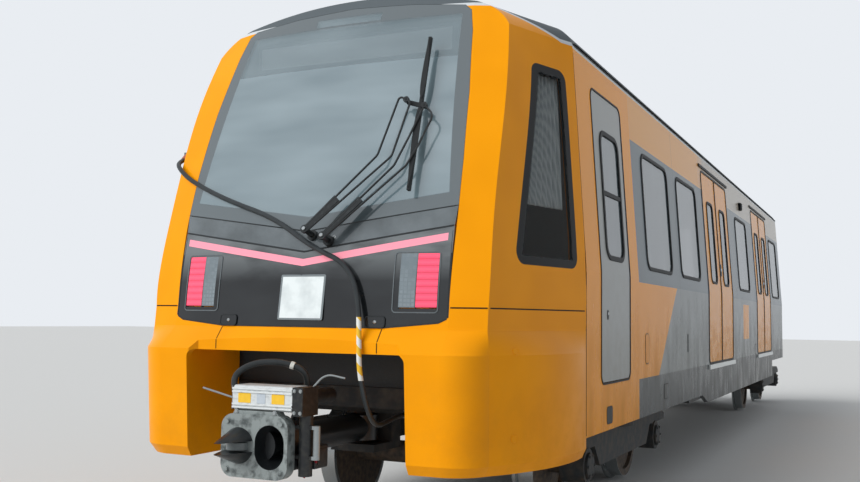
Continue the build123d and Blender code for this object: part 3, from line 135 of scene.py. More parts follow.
# Neoprene sheath, extruded: near black with a dull sheen and a bloom of dust. The tape is yellow and white.
sheath = new_finish("neoprene_sheath")
dust = node("TexNoise", place, Scale=1000 / 60, Detail=4.0)
black = node("MixRGB", dust, "#15181a", "#33393b")
turns = node("DIVIDE", node("ADD", z, x), TAPE_TURN)
white_turn = node("GREATER_THAN", node("FRACT", turns), 0.5)
tape = node("MixRGB", white_turn, "#e3b32c", "#d9dad4")
over = node("GREATER_THAN", z, TAPE_FOOT)
under = node("LESS_THAN", z, TAPE_TOP)
taped = node("MULTIPLY", over, under)
edge = node("FRACT", node("MULTIPLY", turns, 2.0))
ridge = node("MULTIPLY", edge, taped)
skin = node("BsdfPrincipled", node("MixRGB", taped, black, tape), Roughness=0.45,
            Normal=node("Bump", Strength=0.4, Distance=0.003, Height=ridge))
node("OutputMaterial", skin)

cable = hung_cord("front_cable", CABLE_RUN, CABLE_RADIUS)
cable.data.materials.append(sheath)
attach(cable, "car")
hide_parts("jumper_cable")


# Coupler hose: a thick air and wire hose that loops over the electric cover from its right end to the head.
# It is rubber wrapped in fabric, and a moulded clip holds it where it turns down behind the housing.
HOSE_RUN = [
    (-165, -335, 915), (-203, -322, 985), (-210, -286, 1054), (-122, -237, 1106), (5, -185, 1112),
    (126, -142, 1073), (132, -108, 990), (70, -85, 915), (45, -90, 815),
]
HOSE_RADIUS = 0.017
CLIP_WIDTH, CLIP_WALL = 0.022, 0.004


def modify(kind, **settings):
    """Adds a modifier to the active piece and applies it."""
    added = bpy.context.object.modifiers.new(kind.lower(), kind)
    for key, value in settings.items():
        setattr(added, key, value)
    bpy.ops.object.modifier_apply(modifier=added.name)


def settle(name, material, body="car"):
    """Names the active piece, puts its place into its mesh, and gives it its finish and body."""
    piece = bpy.context.object
    piece.name = name
    bpy.ops.object.transform_apply(location=True, rotation=True, scale=True)
    piece.data.materials.clear()
    piece.data.materials.append(material)
    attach(piece, body)
    return piece


def facing(way):
    """Turn that points a piece's own Z along a direction."""
    return Vector(way).to_track_quat("Z", "Y").to_euler()


def start_piece(shape, **settings):
    """Starts a piece from one of Blender's basic meshes, with nothing else selected."""
    bpy.ops.object.select_all(action="DESELECT")
    getattr(bpy.ops.mesh, f"primitive_{shape}_add")(**settings)
    return bpy.context.object


def round_edges(width, segments=2):
    """Rounds the sharp edges of the active piece."""
    modify("BEVEL", width=width, segments=segments, limit_method="ANGLE")


def mottled(name, patch, colour, other, detail=2.0, spread=None, **look):
    """Finish that wanders between two colours in patches of a size in millimetres. Spread is the part of the
    pattern over which it changes, and look is the rest of the surface's settings."""
    finish = new_finish(name)
    pattern = node("TexNoise", place, Scale=1000 / patch, Detail=detail)
    if spread:
        pattern = node("MapRange", pattern, *spread)
    node("OutputMaterial", node("BsdfPrincipled", node("MixRGB", pattern, colour, other), **look))
    return finish


# Rubber hose, fabric-wrapped when cured: black, with the fine wrap marks drawn at 6 mm so that they show.
hose_rubber = new_finish("wrapped_hose_rubber")
wrap = node("TexWave", place, Scale=1000 / 6 / (2 * pi), Distortion=1.5)
dust = node("TexNoise", place, Scale=1000 / 50, Detail=4.0)
skin = node("BsdfPrincipled", node("MixRGB", dust, "#111314", "#2e3334"), Roughness=0.5,
            Normal=node("Bump", Strength=0.2, Distance=0.002, Height=wrap))
node("OutputMaterial", skin)
# Polyamide clip, moulded: off-white and slightly waxy, soiled in its low spots
clip_plastic = mottled("white_polyamide", 15, "#e4e5df", "#b5b4aa", detail=3.0, Roughness=0.4)

clip_start, clip_end = rail_point(HOSE_RUN[4]), rail_point(HOSE_RUN[5])
start_piece("cylinder", vertices=24, radius=HOSE_RADIUS + CLIP_WALL, depth=CLIP_WIDTH,
            location=(clip_end + clip_start) / 2, rotation=facing(clip_end - clip_start))
round_edges(0.002)
hose_clip = settle("hose_clip", clip_plastic, "coupler")
hose = hung_cord("coupler_air_hose", HOSE_RUN, HOSE_RADIUS)
hose.data.materials.append(hose_rubber)
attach(hose, "coupler")
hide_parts("coupler_hose")


# Cable sockets: cast boxes that the front cable plugs into, one on the right pillar and one on the headstock.
# Each is die-cast alloy, painted black. The upper one has a pinkish rubber boot round the cable's end.
BOOT_LENGTH, BOOT_FOOT, BOOT_HEAD = 0.055, 0.030, 0.0165


def put_on(material, *nodes):
    """Gives CAD nodes this finish all over."""
    for name in nodes:
        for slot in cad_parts[name].material_slots:
            slot.material = material


@contextmanager
def editing(chosen=None):
    """Edit mode on the active piece, with all of it selected, or only faces whose outward way is chosen."""
    bpy.ops.object.mode_set(mode="EDIT")
    bpy.ops.mesh.select_all(action="DESELECT" if chosen else "SELECT")
    if chosen:
        bpy.ops.object.mode_set(mode="OBJECT")
        for face in bpy.context.object.data.polygons:
            face.select = chosen(face.normal)
        bpy.ops.object.mode_set(mode="EDIT")
    yield
    bpy.ops.object.mode_set(mode="OBJECT")


# Black enamel on cast alloy: satin, with a fine cast grain and worn grey edges.
socket_enamel = new_finish("black_enamelled_casting")
grain = node("TexNoise", place, Scale=1000 / 4, Detail=2.0)
worn = node("MapRange", node("NewGeometry", output=7), 0.52, 0.6)
skin = node("BsdfPrincipled", node("MixRGB", worn, "#1f2223", "#6b7071"), Roughness=0.5,
            Normal=node("Bump", Strength=0.15, Distance=0.001, Height=grain))
node("OutputMaterial", skin)
put_on(socket_enamel, "cable_sockets")
# Moulded rubber boot, faded salmon pink, with a ridge round its middle
boot_rubber = mottled("pink_rubber_boot", 20, "#b4705f", "#8d5548", Roughness=0.6)
boot_way = rail_point(CABLE_RUN[1]) - rail_point(CABLE_RUN[0])
boot_spot = rail_point(CABLE_RUN[0]) + boot_way.normalized() * BOOT_LENGTH / 2
start_piece("cone", vertices=24, radius1=BOOT_FOOT, radius2=BOOT_HEAD, depth=BOOT_LENGTH, location=boot_spot,
            rotation=facing(boot_way))
with editing():
    bpy.ops.mesh.bisect(plane_co=boot_spot, plane_no=boot_way)
    bpy.ops.mesh.bevel(offset=0.004, segments=2)
round_edges(0.002)
settle("cable_boot", boot_rubber)


# Cab front: the mask round the screen, the two legs of the fairing and the bar between them. All are
# glass-fibre mouldings, bolted on from behind, filled, and sprayed in two-pack yellow under a clear coat.
ROOF_LINE_FRONT, ROOF_LINE_SIDE = 3.225, 3.060
ROOF_LINE, LINE_BLUR = 0.024, 0.001
MOULD_WAVE = 320
# Two-pack polyurethane over a moulding: warm yellow, a wet gloss that the mould's long waves bend, a brown
# film of track dust low down, and the roof's dark grey with a pale line at its edge.
mask_paint = new_finish("two_pack_yellow_paint")
wave = node("TexNoise", place, Scale=1000 / MOULD_WAVE, Detail=1.0)
peel = node("TexNoise", place, Scale=1000 / 14, Detail=1.0)
relief = node("ADD", wave, node("MULTIPLY", peel, 0.02))
tone = node("MixRGB", node("MapRange", wave, 0.3, 0.7), "#f29c06", "#ea9504")
patches = node("TexNoise", place, Scale=1000 / 120, Detail=6.0, Roughness=0.65)
low = node("MapRange", z, 1.3, 0.5)
film = node("MULTIPLY", low, node("MapRange", patches, 0.42, 0.75))
soiled = node("MixRGB", node("MULTIPLY", film, 0.18), tone, "#8f6a31")
line = node("MapRange", y, NOSE_Y + 0.55, NOSE_Y + 0.97, ROOF_LINE_FRONT, ROOF_LINE_SIDE)
above = node("SUBTRACT", z, line)
edged = node("MixRGB", node("MapRange", above, -LINE_BLUR, LINE_BLUR), soiled, "#c9ced1")
roofed = node("MapRange", above, ROOF_LINE - LINE_BLUR, ROOF_LINE + LINE_BLUR)
colour = node("MixRGB", roofed, edged, "#5b6266")
rough = node("MapRange", node("MAXIMUM", film, roofed), 0.0, 1.0, 0.28, 0.6)
skin = node("BsdfPrincipled", colour, Roughness=rough, Specular_IOR_Level=0.1, Coat_Weight=0.03,
            Coat_Roughness=0.06, Normal=node("Bump", Strength=0.35, Distance=0.006, Height=relief))
node("OutputMaterial", skin)
put_on(mask_paint, "cab_mask", "bumper_left", "bumper_right", "bumper_centre")

# Flush caps over the jacking bolts of the fairing, two each side, moulded in the same paint
SIDES = (("left", 1), ("right", -1))
CAPS = [(249, 1186), (245, 732)]
CAP_RADIUS, CAP_PROUD, CAP_GROOVE = 0.026, 0.0015, 0.003


def surface_at(name, start, way):
    """Point and outward direction where a line from a start meets a CAD node."""
    hit, spot, normal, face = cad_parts[name].ray_cast(Vector(start), Vector(way))
    if not hit:
        raise ValueError(f"nothing of {name} lies along that line")
    return spot, normal


def press(*steps, chosen=None):
    """Insets faces of the active piece and moves what they enclose, step by step. They are all its faces, or
    those whose outward way is chosen."""
    with editing(chosen):
        for inset, move in steps:
            bpy.ops.mesh.inset(thickness=inset)
            bpy.ops.transform.translate(value=move)


for row, (along, height) in enumerate(CAPS):
    for word, side in SIDES:
        spot, outward = surface_at(f"bumper_{word}", rail_point((side * 2000, along, height)), (-side, 0, 0))
        start_piece("circle", vertices=32, radius=CAP_RADIUS, fill_type="NGON", rotation=facing(outward),
                    location=spot + outward * CAP_PROUD)
        press((0.004, outward * -CAP_GROOVE), (0.003, outward * CAP_GROOVE))
        settle(f"jacking_cap_{row}_{word}", mask_paint)

# Sealant in the joints: one bead level round each side between mask and fairing, one upright where the
# mouldings meet the bodyshell. Polyurethane, gunned in and smoothed: dark brown-black, matt
SEAM_HEIGHT, SEAM_CENTRE = 1.438, (0.600, NOSE_Y + 0.600)
SEAM_START, SEAM_SWEEP = -73, 105
SHELL_JOINT, SHELL_FOOT, SHELL_TALL = NOSE_Y + 1.070, 0.70, 2.32
JOINT_REACH, BEAD_THICKNESS = 0.006, 0.0012
sealant = mottled("dark_joint_sealant", 25, "#33230f", "#1c1712", detail=3.0, Roughness=0.7,
                  Specular_IOR_Level=0.2)


def thicken(thickness, edge=None, segments=2, offset=0):
    """Gives the active flat piece its thickness, and rounds its edges where an edge width is given."""
    modify("SOLIDIFY", thickness=thickness, offset=offset)
    if edge:
        round_edges(edge, segments)


def spaced(start, length, steps):
    """Evenly spaced values from a start over a length, with both ends."""
    return [start + length * step / steps for step in range(steps + 1)]


def bead(name, rays, targets, half, across, material):
    """Strip of sealant laid along the points where rays meet the CAD nodes."""
    strip = start_piece("grid", x_subdivisions=len(rays) - 1, y_subdivisions=1, size=1)
    for vertex in strip.data.vertices:
        start, way = rays[round((vertex.co.x + 0.5) * (len(rays) - 1))]
        beside = Vector(across) * (1 if vertex.co.y > 0 else -1)
        start = Vector(start) + beside * (half + JOINT_REACH)
        hits = [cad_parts[target].ray_cast(start, Vector(way)) for target in targets]
        spot = min((hit[1] for hit in hits if hit[0]), key=lambda point: (point - start).length)
        vertex.co = spot - Vector(way) * (BEAD_THICKNESS / 2) - beside * JOINT_REACH
    thicken(BEAD_THICKNESS)
    settle(name, material)


for word, side in SIDES:
    shells = ("cab_mask", f"bumper_{word}", f"body_side_{word}")
    turns = [radians(turn) for turn in spaced(SEAM_START, SEAM_SWEEP, 48)]
    rays = [((side * (SEAM_CENTRE[0] + 2 * cos(turn)), SEAM_CENTRE[1] + 2 * sin(turn), SEAM_HEIGHT),
             (-side * cos(turn), -sin(turn), 0)) for turn in turns]
    bead(f"level_joint_bead_{word}", rays, shells, 0.0035, (0, 0, 1), sealant)
    rays = [((side * 2, SHELL_JOINT, height), (-side, 0, 0)) for height in spaced(SHELL_FOOT, SHELL_TALL, 60)]
    bead(f"shell_joint_bead_{word}", rays, shells, 0.004, (0, 1, 0), sealant)


# Windscreen: one arched pane of laminated glass, bonded into the mask. Ceramic frit is fired on round its
# edge to hide the bond, and its colour holds painted sky reflection in faint level bands. Behind it is the
# long box of the blank display.
SCREEN_HALF, SCREEN_LEAN = 1.0807, 0.0926
SCREEN_FOOT, SCREEN_RISE = 1.8635, 0.1395
FRIT_SIDE, FRIT_FOOT, FRIT_TOP = 0.052, 0.085, 3.172
FRIT_BLUR, FOOT_BLUR = 0.004, 0.006
DISPLAY, DISPLAY_SIZE, DISPLAY_FACE = (-25, 590, 3015), (1.42, 0.06, 0.20), (1.38, 0.008, 0.158)
DISPLAY_WINDOW = (2.885, 0.760)
MARKER_SLOT = (-0.020, 0.230, 3.180, 3.236)
MARKER_CELLS, MARKER_SIZE = (-180, -20, 140), (0.09, 0.04, 0.035)
# Laminated glass with a metal-oxide coating: mirror-smooth and strongly reflecting. Its grey-blue colour is
# partly the coating's tint and partly painted sky reflection. The frit is black.
screen_glass = new_finish("coated_laminated_glass")
across = node("ABSOLUTE", x)
leaned = node("ADD", across, node("MULTIPLY", z, SCREEN_LEAN))
side = node("MapRange", leaned, SCREEN_HALF - FRIT_SIDE - FRIT_BLUR, SCREEN_HALF - FRIT_SIDE)
risen = node("SUBTRACT", z, node("MULTIPLY", across, SCREEN_RISE))
foot = node("MapRange", risen, SCREEN_FOOT + FRIT_FOOT, SCREEN_FOOT + FRIT_FOOT - FOOT_BLUR)
top = node("MapRange", z, FRIT_TOP - FRIT_BLUR, FRIT_TOP)
frit = node("MAXIMUM", node("MAXIMUM", side, foot), top)
# Two clear windows: one before the display box, with no coating, and a slot in the frit for the marker lamps
clear = node("MULTIPLY", node("MapRange", z, DISPLAY_WINDOW[0], DISPLAY_WINDOW[0] + FRIT_BLUR),
             node("MapRange", across, DISPLAY_WINDOW[1], DISPLAY_WINDOW[1] - FRIT_BLUR))
beside = node("ABSOLUTE", node("SUBTRACT", x, MARKER_SLOT[0]))
level = node("MULTIPLY", node("MapRange", z, MARKER_SLOT[2], MARKER_SLOT[2] + FRIT_BLUR),
             node("MapRange", z, MARKER_SLOT[3], MARKER_SLOT[3] - FRIT_BLUR))
marker_slot = node("MULTIPLY", node("MapRange", beside, MARKER_SLOT[1], MARKER_SLOT[1] - FRIT_BLUR), level)
frit = node("MULTIPLY", frit, node("SUBTRACT", 1.0, marker_slot))
clear = node("MAXIMUM", clear, marker_slot)
# Painted sky reflection: level bands of noise that shift the pane between two grey-blues.
painted_reflection_bands = node("TexNoise", node("Mapping", place, Scale=(1.0, 1.0, 4.0)), Scale=1000 / 900, Detail=2.0)
pane_and_painted_reflection = node("MixRGB", node("MapRange", painted_reflection_bands, 0.3, 0.75), "#667b83", "#8a9da4")
alpha = node("MAXIMUM", frit, node("MapRange", clear, 0.0, 1.0, 0.84, 0.58))
skin = node("BsdfPrincipled", node("MixRGB", frit, pane_and_painted_reflection, "#4e585c"), Roughness=0.05, Alpha=alpha,
            IOR=node("MapRange", frit, 0.0, 1.0, 2.5, 2.0))
node("OutputMaterial", skin)
put_on(screen_glass, "windscreen")

# Folded sheet steel in matt black
black_sheet = mottled("matt_black_sheet", 30, "#141617", "#2a2e30", detail=4.0, Roughness=0.6)


def resize(size):
    """Stretches the active piece by a factor along each axis."""
    bpy.context.object.scale = size
    bpy.ops.object.transform_apply(location=False, rotation=False, scale=True)


def box_piece(spot, size, rounding):
    """Rounded box of a size at a spot, as the active piece."""
    start_piece("cube", size=1, location=spot)
    resize(size)
    modify("BEVEL", width=rounding, segments=3)


box_piece(rail_point(DISPLAY), DISPLAY_SIZE, 0.025)
press((0.018, (0, 0.012, 0)), chosen=lambda way: way.y < -0.99)
settle("blank_display_box", black_sheet)
# Frosted acrylic: the display's blank face and the marker lamps, pale grey and satin
frosted = mottled("frosted_acrylic", 250, "#dbe4e7", "#eef3f4", Roughness=0.35)
box_piece(rail_point((DISPLAY[0], DISPLAY[1] - 22, DISPLAY[2])), DISPLAY_FACE, 0.003)
settle("blank_display_face", frosted)
for cell in MARKER_CELLS:
    box_piece(rail_point((cell, 665, 3205)), MARKER_SIZE, 0.012)
    settle(f"marker_lamp_cell_{cell}", frosted)


# Wiper cowl: the black moulding under the screen that carries the wiper's posts. It is glass-fibre in
# satin black gel coat, and one domed screw holds the cover of the washer jet.
SCREW = (183, -400, 1799)
# Gel coat: dark grey, polished by the mould, with a light bloom where water dries
cowl_gel = mottled("black_gel_coat", 200, "#474e51", "#646c70", detail=5.0, spread=(0.35, 0.75),
                   Roughness=0.18, Coat_Weight=0.8, Coat_Roughness=0.05)
put_on(cowl_gel, "wiper_cowl")
# Stainless screws and pins, turned and left bright
bright_steel = new_finish("bright_stainless_steel")
turning = node("TexNoise", place, Scale=1000 / 3, Detail=3.0)
rough = node("MapRange", turning, 0.0, 1.0, 0.2, 0.4)
node("OutputMaterial", node("BsdfPrincipled", "#b9bdbd", Metallic=1.0, Roughness=rough))


def domed_screw(name, spot, outward, radius, material):
    """Domed screw head standing on a surface, about half as tall as a ball."""
    piece = start_piece("uv_sphere", segments=16, ring_count=8, radius=radius, location=spot,
                        rotation=facing(outward))
    piece.scale.z = 0.55
    bpy.ops.object.transform_apply(location=True, rotation=True, scale=True)
    with editing():
        bpy.ops.mesh.bisect(plane_co=spot, plane_no=outward, clear_inner=True, use_fill=True)
    bpy.ops.object.shade_smooth_by_angle(angle=radians(50))
    settle(name, material)


spot, outward = surface_at("wiper_cowl", rail_point(SCREW), (0, 1, 0))
domed_screw("cowl_screw", spot, outward, 0.011, bright_steel)


# Light panel: a black glass-like cover over the lamps, with the straight light line across its top edge. It
# is hard-coated polycarbonate over a black tray. The square sign at its middle is a bare white plate.
SIGN_MIDDLE, SIGN_SIZE, SIGN_LEAN = (14, -8, 1461), (0.292, 0.256), 8.0
SIGN_RIM = (0.012, 0.013)
LATCH_PLACES = [(-477, 1330), (477, 1330)]
LAMP_FRAME, LAMP_FRAME_SIZE = (699, -400, 1545), (0.262, 0.330)
LIGHT_ROWS = 0.0369
# Hard-coated polycarbonate: deep black, mirror gloss, with pale patches of painted reflection towards its top
# edge
panel_gloss = new_finish("black_hard_coated_polycarbonate")
haze_and_reflection_noise = node("TexNoise", node("Mapping", place, Scale=(1.0, 1.0, 2.5)), Scale=1000 / 500, Detail=6.0)
pane_and_painted_reflection = node("MixRGB", node("MapRange", haze_and_reflection_noise, 0.35, 0.7), "#17191b", "#26292b")
# Painted reflection: the pale patches grow in from 1.58 m to 1.76 m high and stay above that.
painted_reflection_top = node("MULTIPLY", node("MapRange", z, 1.58, 1.76), node("MapRange", haze_and_reflection_noise, 0.3, 0.55))
pane_and_painted_reflection = node("MixRGB", painted_reflection_top, pane_and_painted_reflection, "#6c7173")
node("OutputMaterial",
     node("BsdfPrincipled", pane_and_painted_reflection, Roughness=0.04, IOR=1.5, Coat_Weight=0.15, Coat_Roughness=0.02))
put_on(panel_gloss, "light_panel")
# Black rubber gaskets in the joints round the panel and over the cowl, squeezed out a little all along
GASKET_HALF = 0.0045
PANEL_APEX, PANEL_SLOPE, PANEL_HALF = 1.7455, 0.1497, 0.880
PANEL_SIDE, SIDE_FOOT, SIDE_TALL = 0.884, 1.384, 0.490
PANEL_FOOT = [(-0.88, 1.381), (-0.835, 1.359), (-0.523, 1.329), (0.523, 1.329), (0.835, 1.359), (0.88, 1.381)]
BUMPER_SEAM, BUMPER_SEAM_FOOT, BUMPER_SEAM_TALL = 0.520, 1.195, 0.125
FRONT_PIECES = ("light_panel", "wiper_cowl", "windscreen", "cab_mask", "bumper_left", "bumper_right",
                "bumper_centre")


def nose_bead(name, places, width_way, half=GASKET_HALF, material=black_sheet):
    """Bead on the nose through places given as (across, height), as seen from ahead."""
    rays = [((across, NOSE_Y - 0.6, height), (0, 1, 0)) for across, height in places]
    bead(name, rays, FRONT_PIECES, half, width_way, material)


spread = spaced(-PANEL_HALF, 2 * PANEL_HALF, 80)
nose_bead("panel_gasket", [(across, PANEL_APEX + abs(across) * PANEL_SLOPE) for across in spread], (0, 0, 1))
nose_bead("cowl_gasket", [(across, SCREEN_FOOT + abs(across) * SCREEN_RISE) for across in spread], (0, 0, 1),
          GASKET_HALF * 0.7)
foot_places = []
for (x0, z0), (x1, z1) in zip(PANEL_FOOT, PANEL_FOOT[1:]):
    foot_places += [(x0 + (x1 - x0) * step / 10, z0 + (z1 - z0) * step / 10) for step in range(10)]
nose_bead("panel_foot_gasket", foot_places + PANEL_FOOT[-1:], (0, 0, 1))
for word, side in SIDES:
    upright = [(side * PANEL_SIDE, height) for height in spaced(SIDE_FOOT, SIDE_TALL, 20)]
    nose_bead(f"panel_side_gasket_{word}", upright, (1, 0, 0))
    upright = [(side * BUMPER_SEAM, height) for height in spaced(BUMPER_SEAM_FOOT, BUMPER_SEAM_TALL, 10)]
    nose_bead(f"bar_joint_bead_{word}", upright, (1, 0, 0), 0.0025, sealant)
# Diffusing light line, lit: an even pale pink
line_lens = new_finish("lit_pink_diffuser")
node("OutputMaterial",
     node("BsdfPrincipled", "#f094a4", Roughness=0.3, Emission_Color="#f27d95", Emission_Strength=0.15))
put_on(line_lens, "light_strip")
# Tail lamp lens, lit: red acrylic in cells 37 mm high, brighter at the middle of each
tail_lens = new_finish("lit_red_acrylic")
row = node("FRACT", node("DIVIDE", z, LIGHT_ROWS))
near = node("ABSOLUTE", node("SUBTRACT", row, 0.5))
joint = node("MapRange", near, 0.455, 0.475)
glow = node("MixRGB", node("MapRange", near, 0.0, 0.45), "#f7506f", "#ee355a")
tone = node("MixRGB", joint, glow, "#7d1428")
node("OutputMaterial",
     node("BsdfPrincipled", tone, Roughness=0.12, Emission_Color="#f2385c", Emission_Strength=0.3,
          Coat_Weight=1.0, Normal=node("Bump", Strength=0.2, Distance=0.002, Height=joint, invert=True)))
put_on(tail_lens, "tail_lamps")
# Head lamp: clear acrylic over a vacuum-plated reflector of small square facets
head_lens = new_finish("clear_lens_over_reflector")
facets = node("TexVoronoi", node("Mapping", place, Scale=(1.0, 0.2, 1.0)), Scale=1000 / 22, Randomness=0.15,
              distance="CHEBYCHEV")
tone = node("MixRGB", node("MapRange", facets, 0.1, 0.5), "#8f9a9f", "#737e83")
node("OutputMaterial",
     node("BsdfPrincipled", tone, Roughness=0.15, Metallic=0.55, Coat_Weight=1.0, Coat_Roughness=0.03,
          Normal=node("Bump", Strength=0.35, Distance=0.006, Height=facets)))
put_on(head_lens, "head_lamps")


def rounded_plate(spot, way, size, radius, bar=None):
    """Flat plate with round corners, or the ring of its edge, with its width level and its face along way."""
    piece = start_piece("plane", size=1)
    resize((*size, 1))
    with editing():
        bpy.ops.mesh.bevel(offset=radius, segments=6, affect="VERTICES")
        if bar:
            bpy.ops.mesh.select_all(action="SELECT")
            bpy.ops.mesh.inset(thickness=bar)
            bpy.ops.mesh.delete(type="FACE")
    out = Vector(way).normalized()
    level = Vector((0, 0, 1)).cross(out).normalized()
    turn = Matrix((level, out.cross(level), out)).transposed().to_4x4()
    piece.matrix_world = Matrix.Translation(spot) @ turn
    bpy.ops.object.transform_apply(location=True, rotation=True, scale=True)
    return piece


# Sign plate: enamelled aluminium, white with a grey edge line, left bare
sign_enamel = new_finish("white_enamelled_plate")
off = node("ABSOLUTE", node("SUBTRACT", x, SIGN_MIDDLE[0] / 1000))
up_off = node("ABSOLUTE", node("SUBTRACT", z, RAIL_Z + SIGN_MIDDLE[2] / 1000))
beside = node("GREATER_THAN", off, SIGN_SIZE[0] / 2 - SIGN_RIM[0])
over = node("GREATER_THAN", up_off, SIGN_SIZE[1] / 2 - SIGN_RIM[1])
rim = node("MAXIMUM", beside, over)
smear = node("TexNoise", place, Scale=1000 / 90, Detail=5.0)
field = node("MixRGB", node("MapRange", smear, 0.4, 0.8), "#dfe6e6", "#bcc4c5")
node("OutputMaterial",
     node("BsdfPrincipled", node("MixRGB", rim, field, "#6f777a"), Roughness=0.25, Coat_Weight=0.5))
sign_way = (0, -cos(radians(SIGN_LEAN)), sin(radians(SIGN_LEAN)))
rounded_plate(rail_point(SIGN_MIDDLE) + Vector(sign_way) * 0.004, sign_way, SIGN_SIZE, 0.010)
thicken(0.004, 0.001)
settle("bare_sign_plate", sign_enamel)

# Small hinged latches in the lower edge of the panel, black with a bright lock screw
for across, height in LATCH_PLACES:
    spot, outward = surface_at("light_panel", rail_point((across, -400, height)), (0, 1, 0))
    rounded_plate(spot + outward * 0.003, outward, (0.112, 0.060), 0.018)
    thicken(0.006, 0.002)
    settle(f"latch_plate_{across}", panel_gloss)
    rounded_plate(spot + outward * 0.0065, outward, (0.120, 0.066), 0.020, 0.005)
    thicken(0.003)
    settle(f"latch_rim_{across}", black_sheet)
    domed_screw(f"latch_screw_{across}", spot + outward * 0.006, outward, 0.010, bright_steel)
# Clear covers' moulded frames round each pair of lamps, laid on what lies behind them
for word, side in SIDES:
    across, along, height = LAMP_FRAME
    spot, outward = surface_at("light_panel", rail_point((side * across, along, height)), (0, 1, 0))
    rounded_plate(spot - Vector((0, 0.10, 0)), (0, -1, 0), LAMP_FRAME_SIZE, 0.022, 0.006)
    with editing():
        bpy.ops.mesh.subdivide(number_cuts=4)
    for vertex in bpy.context.object.data.vertices:
        for target in ("light_panel", "tail_lamps", "head_lamps"):
            hit, seat, normal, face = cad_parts[target].ray_cast(vertex.co, Vector((0, 1, 0)))
            if hit and seat.y - vertex.co.y <= 0.3:
                break
        vertex.co.y = seat.y - 0.002 if hit else vertex.co.y + 0.10
    thicken(0.003)
    settle(f"lamp_cover_frame_{word}", cowl_gel)


# Wiper: two parallel arms of bent steel rod on posts through the cowl, and a straight blade on a carrier
# between their tips. The arms are coated black and stay so except where the nuts and pins are left bright.
ARM_POST, SECOND_POST = (0.045, -6.837221, 1.862256), (0.155, -6.848210, 1.829026)
WIPER_AXIS = (0.0, -0.949425, 0.313992)
SPOILERS = [("upper_spoiler", (594, 1194), (606, 790), 34), ("lower_spoiler", (607, 742), (620, 232), 42)]
SPOILER_LAYER, CHANNEL_DEPTH = -18.4, 9
# Epoxy powder coat on steel: black, satin, rubbed grey on its edges
arm_coat = mottled("black_powder_coat", 25, "#191c1d", "#3d4345", detail=5.0, spread=(0.55, 0.8),
                   Roughness=0.38)
put_on(arm_coat, "wiper_arm", "wiper_second_arm", "wiper_spindle")
# Natural rubber blade, cut after moulding: matt black
blade_rubber = mottled("black_blade_rubber", 40, "#121415", "#1f2223", detail=3.0, Roughness=0.6)
put_on(blade_rubber, "wiper_blade")
for arm, post in (("arm", ARM_POST), ("second_arm", SECOND_POST)):
    spot, outward = surface_at("wiper_spindle", Vector(post) + Vector(WIPER_AXIS) * 0.2, -Vector(WIPER_AXIS))
    start_piece("cylinder", vertices=6, radius=0.012, depth=0.014, rotation=facing(WIPER_AXIS), location=spot)
    round_edges(0.0015)
    settle(f"{arm}_nut", bright_steel, f"wiper_{arm}")


def wiper_spot(point, out):
    """Point in the plane the wiper sweeps, from millimetres across, along the glass and out from the arms."""
    across, along = Vector((1, 0, 0)), Vector((0, WIPER_AXIS[2], -WIPER_AXIS[1]))
    start = Vector(ARM_POST) - across * 0.035 + along * 0.005
    return start + (across * point[0] + along * point[1] + Vector(WIPER_AXIS) * out) / 1000


def channel(name, start, end, widths, layer, body):
    """Folded channel between an arm's rods, from its hub outwards, wider at its far end."""
    length = (Vector(end) - Vector(start)).normalized()
    beside = Vector((-length.y, length.x))
    bar = start_piece("cube", size=1)
    for vertex in bar.data.vertices:
        corner = Vector(end if vertex.co.y > 0 else start)
        corner = corner + beside * widths[vertex.co.y > 0] * vertex.co.x
        vertex.co = wiper_spot(corner, layer + CHANNEL_DEPTH * vertex.co.z)
    with editing():
        bpy.ops.mesh.normals_make_consistent(inside=False)
    round_edges(0.0025, 3)
    settle(name, arm_coat, body)


channel("arm_head", (43, 4), (205, 178), (34, 50), 9, "wiper_arm")
channel("second_arm_head", (150, -34), (345, 175), (30, 44), -9, "wiper_second_arm")
# Spoiler plates clipped along the blade, two moulded leaves with the wide part towards the arms
for name, start, end, width in SPOILERS:
    foot, head = wiper_spot(start, SPOILER_LAYER), wiper_spot(end, SPOILER_LAYER)
    leaf = start_piece("circle", vertices=40, radius=1, fill_type="NGON")
    for vertex in leaf.data.vertices:
        share = (vertex.co.y + 1) / 2
        wide = vertex.co.x * width / 2000 * (0.45 + 0.85 * share)
        vertex.co = foot.lerp(head, 1 - share if name == "lower_spoiler" else share) + Vector((wide, 0, 0))
    if name == "lower_spoiler":
        with editing():
            bpy.ops.mesh.flip_normals()
    thicken(0.0035, 0.001)
    settle(name, blade_rubber, "wiper_blade")


# Body sides: aluminium extrusions welded into one shell, filled, sprayed and lacquered. Yellow stays at the
# cab, in a slanted field behind its door, in one patch and along the cantrail. The rest is two greys.
BELT, BELT_HEIGHT, WALL_X = 1.688, 1660, 1.325
LEAN, LEAN_ANGLE = 90 / 1380, 3.731
YELLOW_END, SLANT_FOOT, SLANT = 2.420, 3.080, 1.043
FIELD_FOOT, FIELD_TOP, BAND_TOP, ROOF_EDGE = 0.968, 1.664, 2.715, 3.048
CANTRAIL_FADE = (5.20, 5.60)
PATCH = (7.88, 8.38, 1.184, 1.605)
JOINTS = (3.95, 7.35, 8.80, 10.98)
